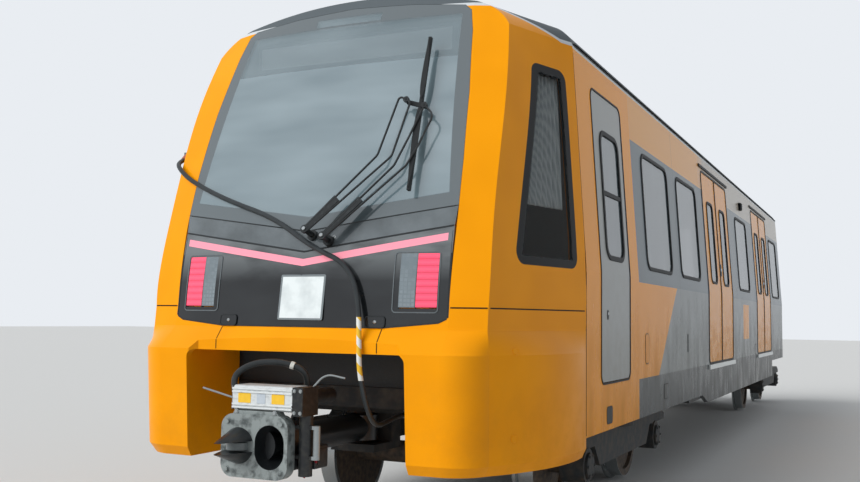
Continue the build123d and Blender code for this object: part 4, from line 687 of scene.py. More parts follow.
# Lacquered aluminium: slate grey round the windows, silver grey under them, dark on the skirt, all with a
# wet gloss, soft long waves from the welds, and a brown bloom of brake dust that thins upwards
side_paint = new_finish("lacquered_side_paint")
station = node("SUBTRACT", y, NOSE_Y)
wave = node("TexNoise", node("Mapping", place, Scale=(1.0, 0.35, 1.0)), Scale=1000 / 260, Detail=1.0)
skirt = node("MapRange", z, FIELD_FOOT - LINE_BLUR, FIELD_FOOT + LINE_BLUR)
band = node("MapRange", z, FIELD_TOP - LINE_BLUR, FIELD_TOP + LINE_BLUR)
cant = node("MapRange", z, BAND_TOP - LINE_BLUR, BAND_TOP + LINE_BLUR)
faded = node("MapRange", station, *CANTRAIL_FADE)
tone = node("MixRGB", skirt, "#505557", "#868b8b")
tone = node("MixRGB", band, tone, "#6d777c")
tone = node("MixRGB", cant, tone, node("MixRGB", faded, "#eba64c", "#bfb6a9"))
slant = node("MULTIPLY", node("SUBTRACT", z, FIELD_FOOT), SLANT)
ahead = node("LESS_THAN", station, node("ADD", slant, SLANT_FOOT))
under_band = node("LESS_THAN", z, FIELD_TOP)
field = node("MULTIPLY", node("MULTIPLY", ahead, skirt), under_band)
cab = node("LESS_THAN", station, YELLOW_END)
in_patch = node("LESS_THAN", node("ABSOLUTE", node("SUBTRACT", station, (PATCH[0] + PATCH[1]) / 2)),
                (PATCH[1] - PATCH[0]) / 2)
patch_level = node("LESS_THAN", node("ABSOLUTE", node("SUBTRACT", z, (PATCH[2] + PATCH[3]) / 2)),
                   (PATCH[3] - PATCH[2]) / 2)
patch = node("MULTIPLY", in_patch, patch_level)
yellow = node("MAXIMUM", node("MAXIMUM", field, cab), patch)
tone = node("MixRGB", yellow, tone, "#f29c08")
edge = node("MapRange", z, ROOF_EDGE, ROOF_EDGE + 2 * LINE_BLUR)
tone = node("MixRGB", edge, tone, "#cfd4d6")
dust = node("TexNoise", node("Mapping", place, Scale=(1.0, 1.0, 0.4)), Scale=1000 / 150, Detail=6.0)
film = node("MULTIPLY", node("MapRange", dust, 0.35, 0.75), node("MapRange", z, 1.9, 0.6))
tone = node("MixRGB", node("MULTIPLY", film, 0.35), tone, "#6e6253")
seams = None
for joint in JOINTS:
    off = node("ABSOLUTE", node("SUBTRACT", station, joint))
    seam = node("MapRange", off, 0.004, 0.002)
    seams = seam if seams is None else node("MAXIMUM", seams, seam)
tone = node("MixRGB", node("MULTIPLY", seams, 0.6), tone, "#3f4446")
skin = node("BsdfPrincipled", tone, Roughness=node("MapRange", film, 0.0, 1.0, 0.22, 0.5),
            Specular_IOR_Level=0.07, Coat_Weight=0.02, Coat_Roughness=0.05,
            Normal=node("Bump", Strength=0.3, Distance=0.004, Height=wave))
node("OutputMaterial", skin)
put_on(side_paint, "body_side_left", "body_side_right", "end_wall")

# Rubber section, extruded: black, satin
seal_rubber = mottled("extruded_seal_rubber", 35, "#121415", "#26292a", detail=4.0, spread=(0.5, 0.8),
                      Roughness=0.55, Specular_IOR_Level=0.2)


def wall_point(station, height, out=0.0):
    """Point on the left wall's outer face, or proud of it, from a station and a height in millimetres."""
    lean = max(0.0, height - BELT_HEIGHT) / 1000 * LEAN
    return Vector((WALL_X - lean + out, NOSE_Y + station / 1000, RAIL_Z + height / 1000))


def both_sides():
    """Mirrors the active piece to the car's other side, with its own kept."""
    modify("MIRROR", use_axis=(True, False, False), use_mirror_merge=False)


WALL_WAY = Vector((1, 0, LEAN)).normalized()

# Fittings of the wall, the same on each side: small pressed lids, and a dark slot and a step cut in the panel
for name, station, height, size, radius, finish in (
    ("sand_hatch", 2673, 1152, (0.105, 0.215), 0.030, side_paint),
    ("hatch_slot", 4278, 1168, (0.030, 0.150), 0.012, black_sheet),
    ("foot_step", 1604, 753, (0.130, 0.100), 0.020, black_sheet),
    ("shore_socket", 3350, 800, (0.160, 0.110), 0.018, side_paint),
    ("drain_lid", 9010, 1010, (0.120, 0.120), 0.020, side_paint),
):
    rounded_plate(wall_point(station, height, 0.0005), (1, 0, 0), size, radius)
    thicken(0.003, 0.001)
    both_sides()
    settle(name, finish)
    rim_size = (size[0] + 0.012, size[1] + 0.012)
    rounded_plate(wall_point(station, height, 0.001), (1, 0, 0), rim_size, radius + 0.006, 0.006)
    thicken(0.002)
    both_sides()
    settle(f"{name}_rim", seal_rubber)


# Side windows: fixed panes of tinted toughened glass, held flush in the wall by a black rubber section that
# is pulled in all round. The panes mirror the sky and show the seats only dimly.
WINDOW_SILL, WINDOW_HEAD, WINDOW_RADIUS = 1750, 2630, 0.095
WINDOWS = [(2730, 930), (4050, 940), (7630, 950), (11150, 950)]
RUBBER_BAR, RUBBER_OVERLAP = 0.030, 0.013
# Toughened glass, tinted grey in the melt: smooth and dark, and reflecting
side_glass = new_finish("tinted_toughened_glass")
smear = node("TexNoise", node("Mapping", place, Scale=(1.0, 1.0, 0.5)), Scale=1000 / 400, Detail=5.0)
tint = node("MixRGB", node("MapRange", smear, 0.35, 0.75), "#48555a", "#66757b")
node("OutputMaterial", node("BsdfPrincipled", tint, Roughness=0.02, IOR=2.8, Alpha=0.8))
put_on(side_glass, "saloon_glass", "cab_door_glass_left", "cab_door_glass_right")


def window_rubber(start, width, sill, head, bar):
    """Ring of rubber round a pane in the left wall, from millimetres along and above the rail."""
    size = (width / 1000 + 2 * RUBBER_OVERLAP, (head - sill) / 1000 + 2 * RUBBER_OVERLAP)
    rounded_plate(wall_point(start + width / 2, (sill + head) / 2, 0.001), WALL_WAY, size,
                  WINDOW_RADIUS + RUBBER_OVERLAP, bar)
    thicken(0.012, 0.004, 3)


for number, (start, width) in enumerate(WINDOWS):
    window_rubber(start, width, WINDOW_SILL, WINDOW_HEAD, RUBBER_BAR)
    bpy.ops.object.shade_smooth_by_angle(angle=radians(40))
    both_sides()
    settle(f"window_rubber_{number}", seal_rubber)


# Passenger doors: plug doors in pairs of bonded aluminium leaves, yellow outside, each with a tall window.
# Black rubber seals them where they meet and round the doorway, and a press button opens them.
DOORWAYS = (5410, 9240)
DOORWAY_WIDTH, DOORWAY_HEAD, FLOOR = 1600, 2880, 950
LEAF_WINDOW, LEAF_RUBBER = (360, 1760, 2590), (0.024, 0.085, 0.026)
BUTTON_PLACE, DRIP_RAIL_HEIGHT = (55, 1915), 2928
DOOR_CAMERA = (8138, 2811)
# Lacquered aluminium leaf: the cab's yellow, glossy, dusty at its foot
door_paint = new_finish("lacquered_door_yellow")
wave = node("TexNoise", place, Scale=1000 / 200, Detail=1.0)
dust = node("TexNoise", place, Scale=1000 / 90, Detail=6.0)
film = node("MULTIPLY", node("MapRange", dust, 0.4, 0.75), node("MapRange", z, 1.7, 0.95))
tone = node("MixRGB", node("MULTIPLY", film, 0.3), "#f09c10", "#856a3c")
node("OutputMaterial", node("BsdfPrincipled", tone, Roughness=node("MapRange", film, 0.0, 1.0, 0.2, 0.5),
                            Specular_IOR_Level=0.07, Coat_Weight=0.02, Coat_Roughness=0.04,
                            Normal=node("Bump", Strength=0.25, Distance=0.004, Height=wave)))
put_on(door_paint, "passenger_doors_left", "passenger_doors_right")


def bend_at_belt(piece):
    """Folds a flat piece that stands against the left wall inwards above the belt, as the wall leans."""
    hinge = (WALL_X, 0, BELT)
    with editing():
        bpy.ops.mesh.bisect(plane_co=hinge, plane_no=(0, 0, 1))
        bpy.ops.mesh.select_all(action="DESELECT")
    for vertex in piece.data.vertices:
        vertex.select = vertex.co.z > BELT + 0.0001
    bpy.ops.object.mode_set(mode="EDIT")
    bpy.ops.mesh.select_mode(type="VERT")
    bpy.ops.transform.rotate(value=radians(LEAN_ANGLE), orient_axis="Y", center_override=hinge)
    bpy.ops.object.mode_set(mode="OBJECT")


def dome_pair(name, spot, way, radius, material):
    """Domed piece at a spot of the left wall and another at the same spot of the right one."""
    for word, side in SIDES:
        there = Vector((side * spot.x, spot.y, spot.z))
        domed_screw(f"{name}_{word}", there, (side * way[0], 0, way[2]), radius, material)


for door, start in enumerate(DOORWAYS):
    middle = start + DOORWAY_WIDTH / 2
    tall = DOORWAY_HEAD - FLOOR
    frame_spot = Vector((WALL_X + 0.001, NOSE_Y + middle / 1000, RAIL_Z + (FLOOR + tall / 2) / 1000))
    size = (DOORWAY_WIDTH / 1000 + 0.03, tall / 1000 + 0.03)
    bend_at_belt(rounded_plate(frame_spot, (1, 0, 0), size, 0.075, 0.022))
    thicken(0.008, 0.002)
    both_sides()
    settle(f"doorway_seal_{door}", seal_rubber)
    bend_at_belt(rounded_plate(frame_spot, (1, 0, 0), (0.026, tall / 1000 - 0.012), 0.003))
    thicken(0.010, 0.003)
    both_sides()
    settle(f"leaf_edge_seal_{door}", seal_rubber)
    width, sill, head = LEAF_WINDOW
    overlap, radius, bar = LEAF_RUBBER
    for word, leaf in (("front", -1), ("rear", 1)):
        spot = wall_point(middle + leaf * DOORWAY_WIDTH / 4, (sill + head) / 2, 0.002)
        rounded_plate(spot, WALL_WAY, (width / 1000 + overlap, (head - sill) / 1000 + overlap), radius, bar)
        thicken(0.010, 0.003, 3)
        both_sides()
        settle(f"leaf_window_rubber_{door}_{word}", seal_rubber)
    # Press button: a black moulded plate under a domed steel cap
    spot = wall_point(middle + BUTTON_PLACE[0], BUTTON_PLACE[1], 0.002)
    rounded_plate(spot, WALL_WAY, (0.075, 0.130), 0.030)
    thicken(0.008, 0.003, 3)
    both_sides()
    settle(f"door_button_plate_{door}", black_sheet)
    dome_pair(f"door_button_{door}", spot + WALL_WAY * 0.003, WALL_WAY, 0.020, bright_steel)
    # Drip rail over the doorway: a strip of the same rubber section
    rounded_plate(wall_point(middle, DRIP_RAIL_HEIGHT, 0.004), WALL_WAY, (1.83, 0.030), 0.012)
    thicken(0.016, 0.005, 3)
    both_sides()
    settle(f"drip_rail_{door}", seal_rubber)

# Door sills: extruded aluminium treads, bright along their worn lip, with grooves 12 mm apart
tread = new_finish("extruded_aluminium_tread")
groove = node("FRACT", node("DIVIDE", x, 0.012))
cut = node("MapRange", node("SUBTRACT", groove, 0.5), -0.1, 0.1)
node("OutputMaterial", node("BsdfPrincipled", "#cdd0cf", Metallic=0.8, Roughness=0.35,
                            Normal=node("Bump", Strength=0.4, Distance=0.003, Height=cut)))
put_on(tread, "door_sills")

# Guard's camera by the second door: a small black housing with a bright lens, one a side
box_piece(wall_point(*DOOR_CAMERA, 0.012), (0.045, 0.120, 0.095), 0.015)
both_sides()
settle("door_camera_housing", black_sheet)
# The lens wears the light panel's finish, so it carries that finish's pale patches of painted reflection.
dome_pair("door_camera_lens", wall_point(*DOOR_CAMERA, 0.033), (1, 0, 0), 0.018, panel_gloss)


# Cab side window and its curtain: a dark pane bonded flush into the mask, with a printed black edge. Behind
# it hangs the driver's pleated sun curtain of grey cloth on a rail.
CAB_WINDOW = [(665, 2850), (975, 2850), (975, 1655), (325, 1655)]
WINDOW_SLOPE = 340 / 1195
LEAD_LINE = NOSE_Y + 0.325 - (RAIL_Z + 1.655) * WINDOW_SLOPE
CURTAIN_FOOT, CURTAIN_HEAD, PLEATS, PLEAT_DEPTH = 2.010, 2.80, 9, 0.016
CURTAIN_CUT, CURTAIN_LEAD, CURTAIN_SHARE, CURTAIN_GAP = (0.72, 0.80), 0.06, 0.86, 0.050
# The pane: as the side windows, darker at its printed edge and foot
cab_glass = new_finish("cab_side_tinted_glass")
station = node("SUBTRACT", y, NOSE_Y)
lead = node("SUBTRACT", y, node("MULTIPLY", z, WINDOW_SLOPE))
printed = node("MapRange", station, 0.918, 0.928)
for edge, start, end in ((lead, LEAD_LINE + 0.070, LEAD_LINE + 0.058), (z, 1.738, 1.728), (z, 2.822, 2.832)):
    printed = node("MAXIMUM", printed, node("MapRange", edge, start, end))
shade = node("TexNoise", place, Scale=1000 / 300, Detail=4.0)
tint = node("MixRGB", shade, "#181d20", "#262e31")
node("OutputMaterial",
     node("BsdfPrincipled", node("MixRGB", printed, tint, "#0d0f10"), Roughness=0.03, IOR=1.4,
          Specular_IOR_Level=0.2, Alpha=node("MapRange", printed, 0.0, 1.0, 0.22, 1.0)))
put_on(cab_glass, "cab_side_glass")


def glass_side_point(across, height):
    """Point just inside the left cab side pane, from 0 to 1 across it and at a height in metres."""
    foot, head = CAB_WINDOW[3][1] / 1000, CAB_WINDOW[0][1] / 1000
    share = (height - foot) / (head - foot)
    start = CAB_WINDOW[3][0] + (CAB_WINDOW[0][0] - CAB_WINDOW[3][0]) * share
    station = (start + (CAB_WINDOW[1][0] - start) * across) / 1000
    return surface_at("cab_side_glass", (2.0, NOSE_Y + station, RAIL_Z + height), (-1, 0, 0))


# Polyester sun cloth: pale grey, matt, with a fine upright weave
sun_cloth = new_finish("grey_sun_cloth")
weave = node("TexWave", place, Scale=1000 / 5 / (2 * pi), bands_direction="Y")
node("OutputMaterial",
     node("BsdfPrincipled", node("MixRGB", weave, "#d3dadb", "#b3bcbe"), Roughness=0.9, Sheen_Weight=0.3,
          Normal=node("Bump", Strength=0.2, Distance=0.001, Height=weave)))
for word, side in SIDES:
    curtain = start_piece("grid", x_subdivisions=PLEATS * 8, y_subdivisions=12, size=1)
    for vertex in curtain.data.vertices:
        across, drop = vertex.co.x + 0.5, vertex.co.y + 0.5
        height = CURTAIN_FOOT + (CURTAIN_HEAD - CURTAIN_FOOT) * drop
        spot, outward = glass_side_point(CURTAIN_LEAD + CURTAIN_SHARE * across, height)
        fold = sin(across * PLEATS * 2 * pi + 0.8 * sin(5 * across)) * PLEAT_DEPTH * (0.91 + 0.24 * drop)
        spot = spot - outward * (CURTAIN_GAP - fold)
        vertex.co = (side * spot.x, spot.y, spot.z)
    thicken(0.0015)
    bpy.ops.object.shade_smooth()
    curtain = settle(f"sun_curtain_{word}", sun_cloth)


# Cab doors: hinged aluminium doors, one a side, sprayed grey. Each has a drop window in a black rubber
# section, split by its bar, and a square-key lock under it. It is opened by a pull inside.
CAB_PANE = (1566, 460, 1760, 2600)
PANE_SPLIT, LOCK = 2190, (1564, 1392)
DOORWAY_MIDDLE, DOORWAY_SIZE = (1.780, 1.905), (0.760, 1.910)
# Lacquered grey, a little warmer than the sides, scuffed at its foot
cab_door_paint = new_finish("lacquered_cab_door_grey")
dust = node("TexNoise", place, Scale=1000 / 110, Detail=6.0)
film = node("MULTIPLY", node("MapRange", dust, 0.4, 0.75), node("MapRange", z, 1.9, 0.95))
tone = node("MixRGB", node("MULTIPLY", film, 0.35), "#8c8f8c", "#6f675b")
node("OutputMaterial", node("BsdfPrincipled", tone, Roughness=0.25, Specular_IOR_Level=0.2, Coat_Weight=0.05,
                            Coat_Roughness=0.05))
put_on(cab_door_paint, "cab_door_left", "cab_door_right")


def one_side(name, word, finish, body=None):
    """Mirrors the active piece to its side and settles it there, on that side's cab door or on a body."""
    if word == "right":
        resize((-1, 1, 1))
        with editing():
            bpy.ops.mesh.normals_make_consistent(inside=False)
    settle(f"{name}_{word}", finish, body or f"cab_door_{word}")


for word in ("left", "right"):
    start, width, sill, head = CAB_PANE
    window_rubber(start, width, sill, head, 0.034)
    one_side("cab_door_window_rubber", word, seal_rubber)
    rounded_plate(wall_point(start + width / 2, PANE_SPLIT), WALL_WAY, (width / 1000 - 0.01, 0.030), 0.003)
    thicken(0.010, 0.002)
    one_side("cab_door_window_bar", word, seal_rubber)
    rounded_plate(wall_point(*LOCK, 0.001), (1, 0, 0), (0.034, 0.062), 0.015)
    thicken(0.003, 0.001)
    one_side("lock_plate", word, black_sheet)
    rounded_plate(wall_point(LOCK[0], LOCK[1] + 8, 0.003), (1, 0, 0), (0.018, 0.018), 0.008)
    thicken(0.003)
    one_side("lock_barrel", word, bright_steel)
    spot = Vector((WALL_X + 0.001, NOSE_Y + DOORWAY_MIDDLE[0], RAIL_Z + DOORWAY_MIDDLE[1]))
    bend_at_belt(rounded_plate(spot, (1, 0, 0), DOORWAY_SIZE, 0.070, 0.012))
    thicken(0.005)
    one_side("cab_doorway_seal", word, seal_rubber, "car")


# Roof and its equipment: a curved aluminium skin with a grey anti-slip coat, and low fairings over the air
# conditioning, the brake resistors and the aerials. Their sides are pressed louvre panels.
ROOF_UNITS = [(2450, 1700, 620, 75), (5000, 2600, 760, 97), (8600, 1500, 620, 75), (10500, 1300, 500, 75)]
CROWN, LOUVRE_PITCH = 3320, 100
GUTTER_SPOT, GUTTER_SIZE = (1.235, NOSE_Y + 6.79, RAIL_Z + 3.049), (0.014, 11.38, 0.018)
# Polyurethane with quartz grit, drawn at 8 mm so that it shows: dark grey, matt, sooty along the middle
roof_grit = new_finish("anti_slip_roof_coat")
grit = node("TexNoise", place, Scale=1000 / 8, Detail=2.0)
soot = node("TexNoise", node("Mapping", place, Scale=(1.0, 0.2, 1.0)), Scale=1000 / 300, Detail=6.0)
tone = node("MixRGB", node("MapRange", soot, 0.3, 0.75), "#5c6265", "#464b4d")
node("OutputMaterial", node("BsdfPrincipled", tone, Roughness=0.75,
                            Normal=node("Bump", Strength=0.25, Distance=0.003, Height=grit)))
put_on(roof_grit, "roof")
# Pressed steel fairings, sprayed dark grey, satin and dusty on top
fairing_paint = mottled("sprayed_roof_fairing", 260, "#484d4f", "#54585a", detail=3.0, spread=(0.3, 0.8),
                        Roughness=0.5)
put_on(fairing_paint, "roof_units")


def repeat(count, step):
    """Repeats the active piece a number of times, each a step further."""
    modify("ARRAY", count=count, use_relative_offset=False, use_constant_offset=True,
           constant_offset_displace=step)


for number, (start, length, half, rise) in enumerate(ROOF_UNITS):
    top = RAIL_Z + (CROWN + rise) / 1000
    # Two service lids on top, each a shallow pressed tray turned over
    for lid in (0, 1):
        spot = Vector((0, NOSE_Y + (start + length * (0.27 + 0.46 * lid)) / 1000, top - 0.004))
        start_piece("plane", size=1, location=spot)
        resize((half / 1000 * 1.7, length / 1000 * 0.40, 1))
        with editing():
            bpy.ops.mesh.bevel(offset=0.04, segments=4, affect="VERTICES")
        press((0.03, (0, 0, 0.0025)), (0.02, (0, 0, -0.002)))
        thicken(0.001, offset=-1)
        settle(f"roof_lid_{number}_{lid}", fairing_paint)
    # Louvres along both flanks, in two rows
    spot = (half / 1000 + 0.003, NOSE_Y + (start + 120) / 1000, top - 0.030)
    start_piece("plane", size=1, rotation=(0, radians(50), 0), location=spot).scale = (0.016, 0.075, 1)
    bpy.ops.object.transform_apply(location=True, rotation=True, scale=True)
    thicken(0.002)
    repeat(int((length - 240) / LOUVRE_PITCH), (0, LOUVRE_PITCH / 1000, 0))
    repeat(2, (0, 0, -0.018))
    both_sides()
    settle(f"roof_louvres_{number}", fairing_paint)
# Rain gutter: a folded aluminium strip along the foot of the roof curve, sprayed as the fairings
box_piece(GUTTER_SPOT, GUTTER_SIZE, 0.004)
both_sides()
settle("rain_gutter", fairing_paint)


# Inner end: a painted end wall with the gangway through it, and this car's half of the folded bellows, which
# is coated fabric clamped in aluminium hoops.
BELLOWS_START, FOLD_PITCH = NOSE_Y + 12.5, 0.023
# Neoprene-coated fabric: charcoal, matt, with painted shade that ramps from dark to lighter across each fold
bellows_cloth = new_finish("coated_bellows_fabric")
weave = node("TexNoise", place, Scale=1000 / 6, Detail=2.0)
# Painted shade of the folds: each fold's colour runs from dark at its front to lighter at its back.
fold = node("FRACT", node("DIVIDE", node("SUBTRACT", y, BELLOWS_START), FOLD_PITCH))
tone = node("MixRGB", node("MapRange", fold, 0.0, 1.0), "#2b2e30", "#3f4345")
node("OutputMaterial", node("BsdfPrincipled", tone, Roughness=0.7,
                            Normal=node("Bump", Strength=0.3, Distance=0.002, Height=weave)))
put_on(bellows_cloth, "gangway_bellows")


# Inside: moulded wall and ceiling linings, the driver's desk and seat, benches of moulded shells, and yellow
# grab poles. They show dimly through the glass and through the gangway.
# Moulded laminate lining: off-white, satin
lining = mottled("moulded_laminate_lining", 500, "#c6c9c6", "#b4b8b6", detail=4.0, Roughness=0.5)
put_on(lining, "ceiling", "cab_partition")
# Textured polyurethane skin: charcoal, with a leather-like grain drawn at 5 mm
desk_skin = new_finish("grained_desk_skin")
grain = node("TexVoronoi", place, Scale=1000 / 5)
node("OutputMaterial", node("BsdfPrincipled", node("MixRGB", grain, "#2f3335", "#3d4244"), Roughness=0.65,
                            Normal=node("Bump", Strength=0.3, Distance=0.001, Height=grain)))
put_on(desk_skin, "cab_desk")
# Wool moquette in blue-grey, its pile drawn at 7 mm
moquette = new_finish("blue_grey_moquette")
pile = node("TexVoronoi", place, Scale=1000 / 7)
node("OutputMaterial", node("BsdfPrincipled", node("MixRGB", pile, "#36414c", "#566473"), Roughness=0.95,
                            Sheen_Weight=0.4, Normal=node("Bump", Strength=0.4, Distance=0.002, Height=pile)))
put_on(moquette, "driver_seat", "saloon_seats")
# Powder-coated tube: yellow, worn paler at hand height
pole_coat = mottled("yellow_pole_coat", 80, "#e8a71c", "#f0bd4e", detail=3.0, spread=(0.5, 0.8),
                    Roughness=0.3)
put_on(pole_coat, "grab_poles")


# Coupler: a cast steel head with a cone and a cup in its face plate, on a shank that swings at its eye. The
# electric coupler rides on top under an extruded aluminium cover. A crank, a damper and levers work it.
COUPLER_FACE, PLATE_BACK = NOSE_Y - 0.410, 0.071
CONE, CUP, COUPLER_AXIS = -0.095, 0.095, 0.714
CONE_REACH, CUP_SIDE, CUP_TALL = 0.096, 0.0895, 0.1135
HOOK_HALF = 0.0181
RIGHT_ROD, LEFT_ROD, DAMPER_SIDE = -0.151, 1.024, 0.3035
FACE_BOLTS = [(-165, 564), (165, 564), (-165, 808), (165, 808), (0, 548)]
LUG_BOLTS = [(-118, 860), (118, 860)]
COVER_FRONT, COVER_MIDDLE = NOSE_Y - 0.400, 0.9585
# Cast steel: the face plate is sprayed grey and rubbed to metal where it meets the next coupler, with black
# grease in the cup and on the cone, a bare hook plate, and black chassis paint behind
coupler_cast = new_finish("cast_steel_coupler")
cast = node("TexNoise", place, Scale=1000 / 5, Detail=3.0)
grease = node("MapRange", node("TexNoise", place, Scale=1000 / 45, Detail=6.0), 0.48, 0.68)
off_cone = node("ADD", node("POWER", node("SUBTRACT", x, CONE), 2.0),
                node("POWER", node("SUBTRACT", z, COUPLER_AXIS), 2.0))
beside = node("DIVIDE", node("SUBTRACT", x, CUP), CUP_SIDE)
over = node("DIVIDE", node("SUBTRACT", z, COUPLER_AXIS), CUP_TALL)
off_cup = node("ADD", node("POWER", beside, 4.0), node("POWER", over, 4.0))
in_front = node("LESS_THAN", y, COUPLER_FACE - 0.001)
behind = node("GREATER_THAN", y, COUPLER_FACE + 0.0015)
at_back = node("GREATER_THAN", y, COUPLER_FACE + PLATE_BACK)
cone = node("MULTIPLY", node("MapRange", off_cone, CONE_REACH ** 2 + 0.0006, CONE_REACH ** 2), in_front)
cup = node("MULTIPLY", node("LESS_THAN", off_cup, 1.0), behind)
tone = node("MixRGB", grease, "#868d8c", "#4b5151")
tone = node("MixRGB", node("MAXIMUM", cone, cup), tone, "#1b1e20")
tone = node("MixRGB", at_back, tone, "#1d2022")
off_axis = node("ABSOLUTE", node("SUBTRACT", z, COUPLER_AXIS))
hook = node("MULTIPLY", node("LESS_THAN", off_axis, HOOK_HALF), in_front)
tone = node("MixRGB", hook, tone, "#6f7677")
rough = node("MapRange", node("MAXIMUM", cone, cup), 0.0, 1.0, 0.5, 0.28)
node("OutputMaterial", node("BsdfPrincipled", tone, Roughness=rough,
                            Normal=node("Bump", Strength=0.25, Distance=0.001, Height=cast)))
put_on(coupler_cast, "coupler_head")
# Extruded aluminium cover, sprayed pale silver, with patches of grime, and a little darker on the faces set
# back behind its ribs
cover_silver = new_finish("sprayed_silver_extrusion")
grime = node("MapRange",
             node("TexNoise", node("Mapping", place, Scale=(1.0, 1.0, 2.0)), Scale=1000 / 30, Detail=5.0),
             0.5, 0.75)
# Faces more than 1 mm behind the cover's front are mixed a little towards a darker grey.
deep = node("MapRange", y, COVER_FRONT - 0.004, COVER_FRONT - 0.001)
tone = node("MixRGB", node("MULTIPLY", grime, 0.45), "#dfe3e3", "#8b8f8d")
tone = node("MixRGB", node("MULTIPLY", deep, 0.12), tone, "#7b8080")
node("OutputMaterial", node("BsdfPrincipled", tone, Metallic=0.25, Roughness=0.32))
put_on(cover_silver, "electric_coupler")
# Steel gear in black chassis paint. Its levers are bare bright rod and the damper is zinc plated.
gear_black = new_finish("black_chassis_paint")
grit = node("TexNoise", place, Scale=1000 / 25, Detail=5.0)
right_rod = node("LESS_THAN", x, RIGHT_ROD)
left_rod = node("GREATER_THAN", z, LEFT_ROD)
damper = node("GREATER_THAN", x, DAMPER_SIDE)
bare = node("MAXIMUM", node("MAXIMUM", right_rod, left_rod), damper)
tone = node("MixRGB", node("MapRange", grit, 0.45, 0.75), "#191b1d", "#33332f")
tone = node("MixRGB", bare, tone, "#9aa0a1")
node("OutputMaterial", node("BsdfPrincipled", tone, Roughness=0.42, Metallic=node("MULTIPLY", bare, 0.6)))
put_on(gear_black, "coupler_gear")
# Plain adhesive plates on the cover, printed with nothing: polyester film, satin
film_yellow = mottled("yellow_polyester_film", 25, "#f3c63a", "#dfae28", detail=3.0, Roughness=0.35)
film_grey = mottled("grey_polyester_film", 25, "#c3cbd2", "#a5afb8", detail=3.0, Roughness=0.35)
for across, width, film in ((-71, 0.078, film_yellow), (32, 0.052, film_grey), (136, 0.078, film_yellow)):
    rounded_plate((across / 1000, COVER_FRONT - 0.001, COVER_MIDDLE), (0, -1, 0), (width, 0.050), 0.004)
    thicken(0.001)
    settle(f"bare_cover_plate_{across}", film, "coupler")


def bolt_ring(name, spots, way, across_flats, height, material, body="coupler"):
    """Hexagon bolt heads with washers at several spots, as one piece."""
    head, washer = (6, across_flats / 2 / cos(pi / 6), height), (20, across_flats * 0.75, height * 0.3)
    made = []
    for spot in spots:
        for sides, radius, depth in (head, washer):
            middle = Vector(spot) + Vector(way) * depth / 2
            made.append(start_piece("cylinder", vertices=sides, radius=radius, depth=depth, location=middle,
                                    rotation=facing(way)))
            round_edges(height * 0.08)
    for piece in made:
        piece.select_set(True)
    bpy.ops.object.join()
    settle(name, material, body)


spots = [(across / 1000, COUPLER_FACE, RAIL_Z + height / 1000) for across, height in FACE_BOLTS]
bolt_ring("face_bolts", spots, (0, -1, 0), 0.022, 0.009, coupler_cast)
spots = [(across / 1000, COUPLER_FACE + 0.010, RAIL_Z + height / 1000) for across, height in LUG_BOLTS]
bolt_ring("lug_bolts", spots, (0, -1, 0), 0.018, 0.008, bright_steel)
spots = [(across, COVER_FRONT, height) for across in (0.234, 0.270) for height in (0.895, 1.005)]
bolt_ring("housing_bolts", spots, (0, -1, 0), 0.013, 0.007, bright_steel)
# End plate of the cover, cast and black
box_piece((-0.1505, COVER_FRONT + 0.075, COVER_MIDDLE), (0.008, 0.140, 0.124), 0.003)
settle("cover_end_plate", gear_black, "coupler")
# Valve block on the head's flank with its two red cocks
box_piece((0.232, COUPLER_FACE + 0.205, 0.660), (0.105, 0.130, 0.120), 0.010)
with editing(lambda way: abs(way.x - 1) < 0.01 or abs(way.y + 1) < 0.01):
    bpy.ops.mesh.inset(thickness=0.012, use_individual=True)
    bpy.ops.mesh.extrude_region_shrink_fatten(TRANSFORM_OT_shrink_fatten={"value": 0.004})
settle("valve_block", gear_black, "coupler")
# Zinc die-cast cock handles, dipped in red
cock_red = mottled("red_dipped_handle", 18, "#a3202c", "#4b1a1c", detail=4.0, spread=(0.5, 0.75),
                   Roughness=0.4)
for number, (across, height, tilt) in enumerate(((0.240, 0.612, 20), (0.287, 0.690, -35))):
    hub = start_piece("cylinder", vertices=20, radius=0.011, depth=0.024, rotation=(radians(90), 0, 0),
                      location=(across, COUPLER_FACE + 0.131, height))
    bpy.ops.mesh.primitive_cube_add(size=1, location=(across, COUPLER_FACE + 0.123, height - 0.026),
                                    rotation=(0, radians(tilt), 0))
    bpy.context.object.scale = (0.012, 0.006, 0.060)
    hub.select_set(True)
    bpy.ops.object.join()
    round_edges(0.0015)
    settle(f"air_cock_{number}", cock_red, "coupler")


# Underframe: welded steel sections under the floor, the headstock that carries the coupler, and the pivots,
# all in black chassis paint under brake dust.
# Chassis paint: black, matt, with brown dust that thickens on ledges
chassis = mottled("dusty_chassis_paint", 70, "#1b1d1e", "#3b3630", detail=6.0, spread=(0.42, 0.75),
                  Roughness=0.75)
put_on(chassis, "underframe")


# Equipment cases: folded steel boxes hung under the floor between the bogies, sprayed grey, with hinged lids
# on toggle latches and louvred panels. Dust has settled low on them.
CASES = [(5250, 1500, 1150, 560), (6850, 900, 1000, 600), (7850, 1700, 1150, 540), (9650, 1100, 1050, 600)]
FLOOR_LOW, LATCH_SHARE, SLAT_PITCH = 830, 0.32, 0.024
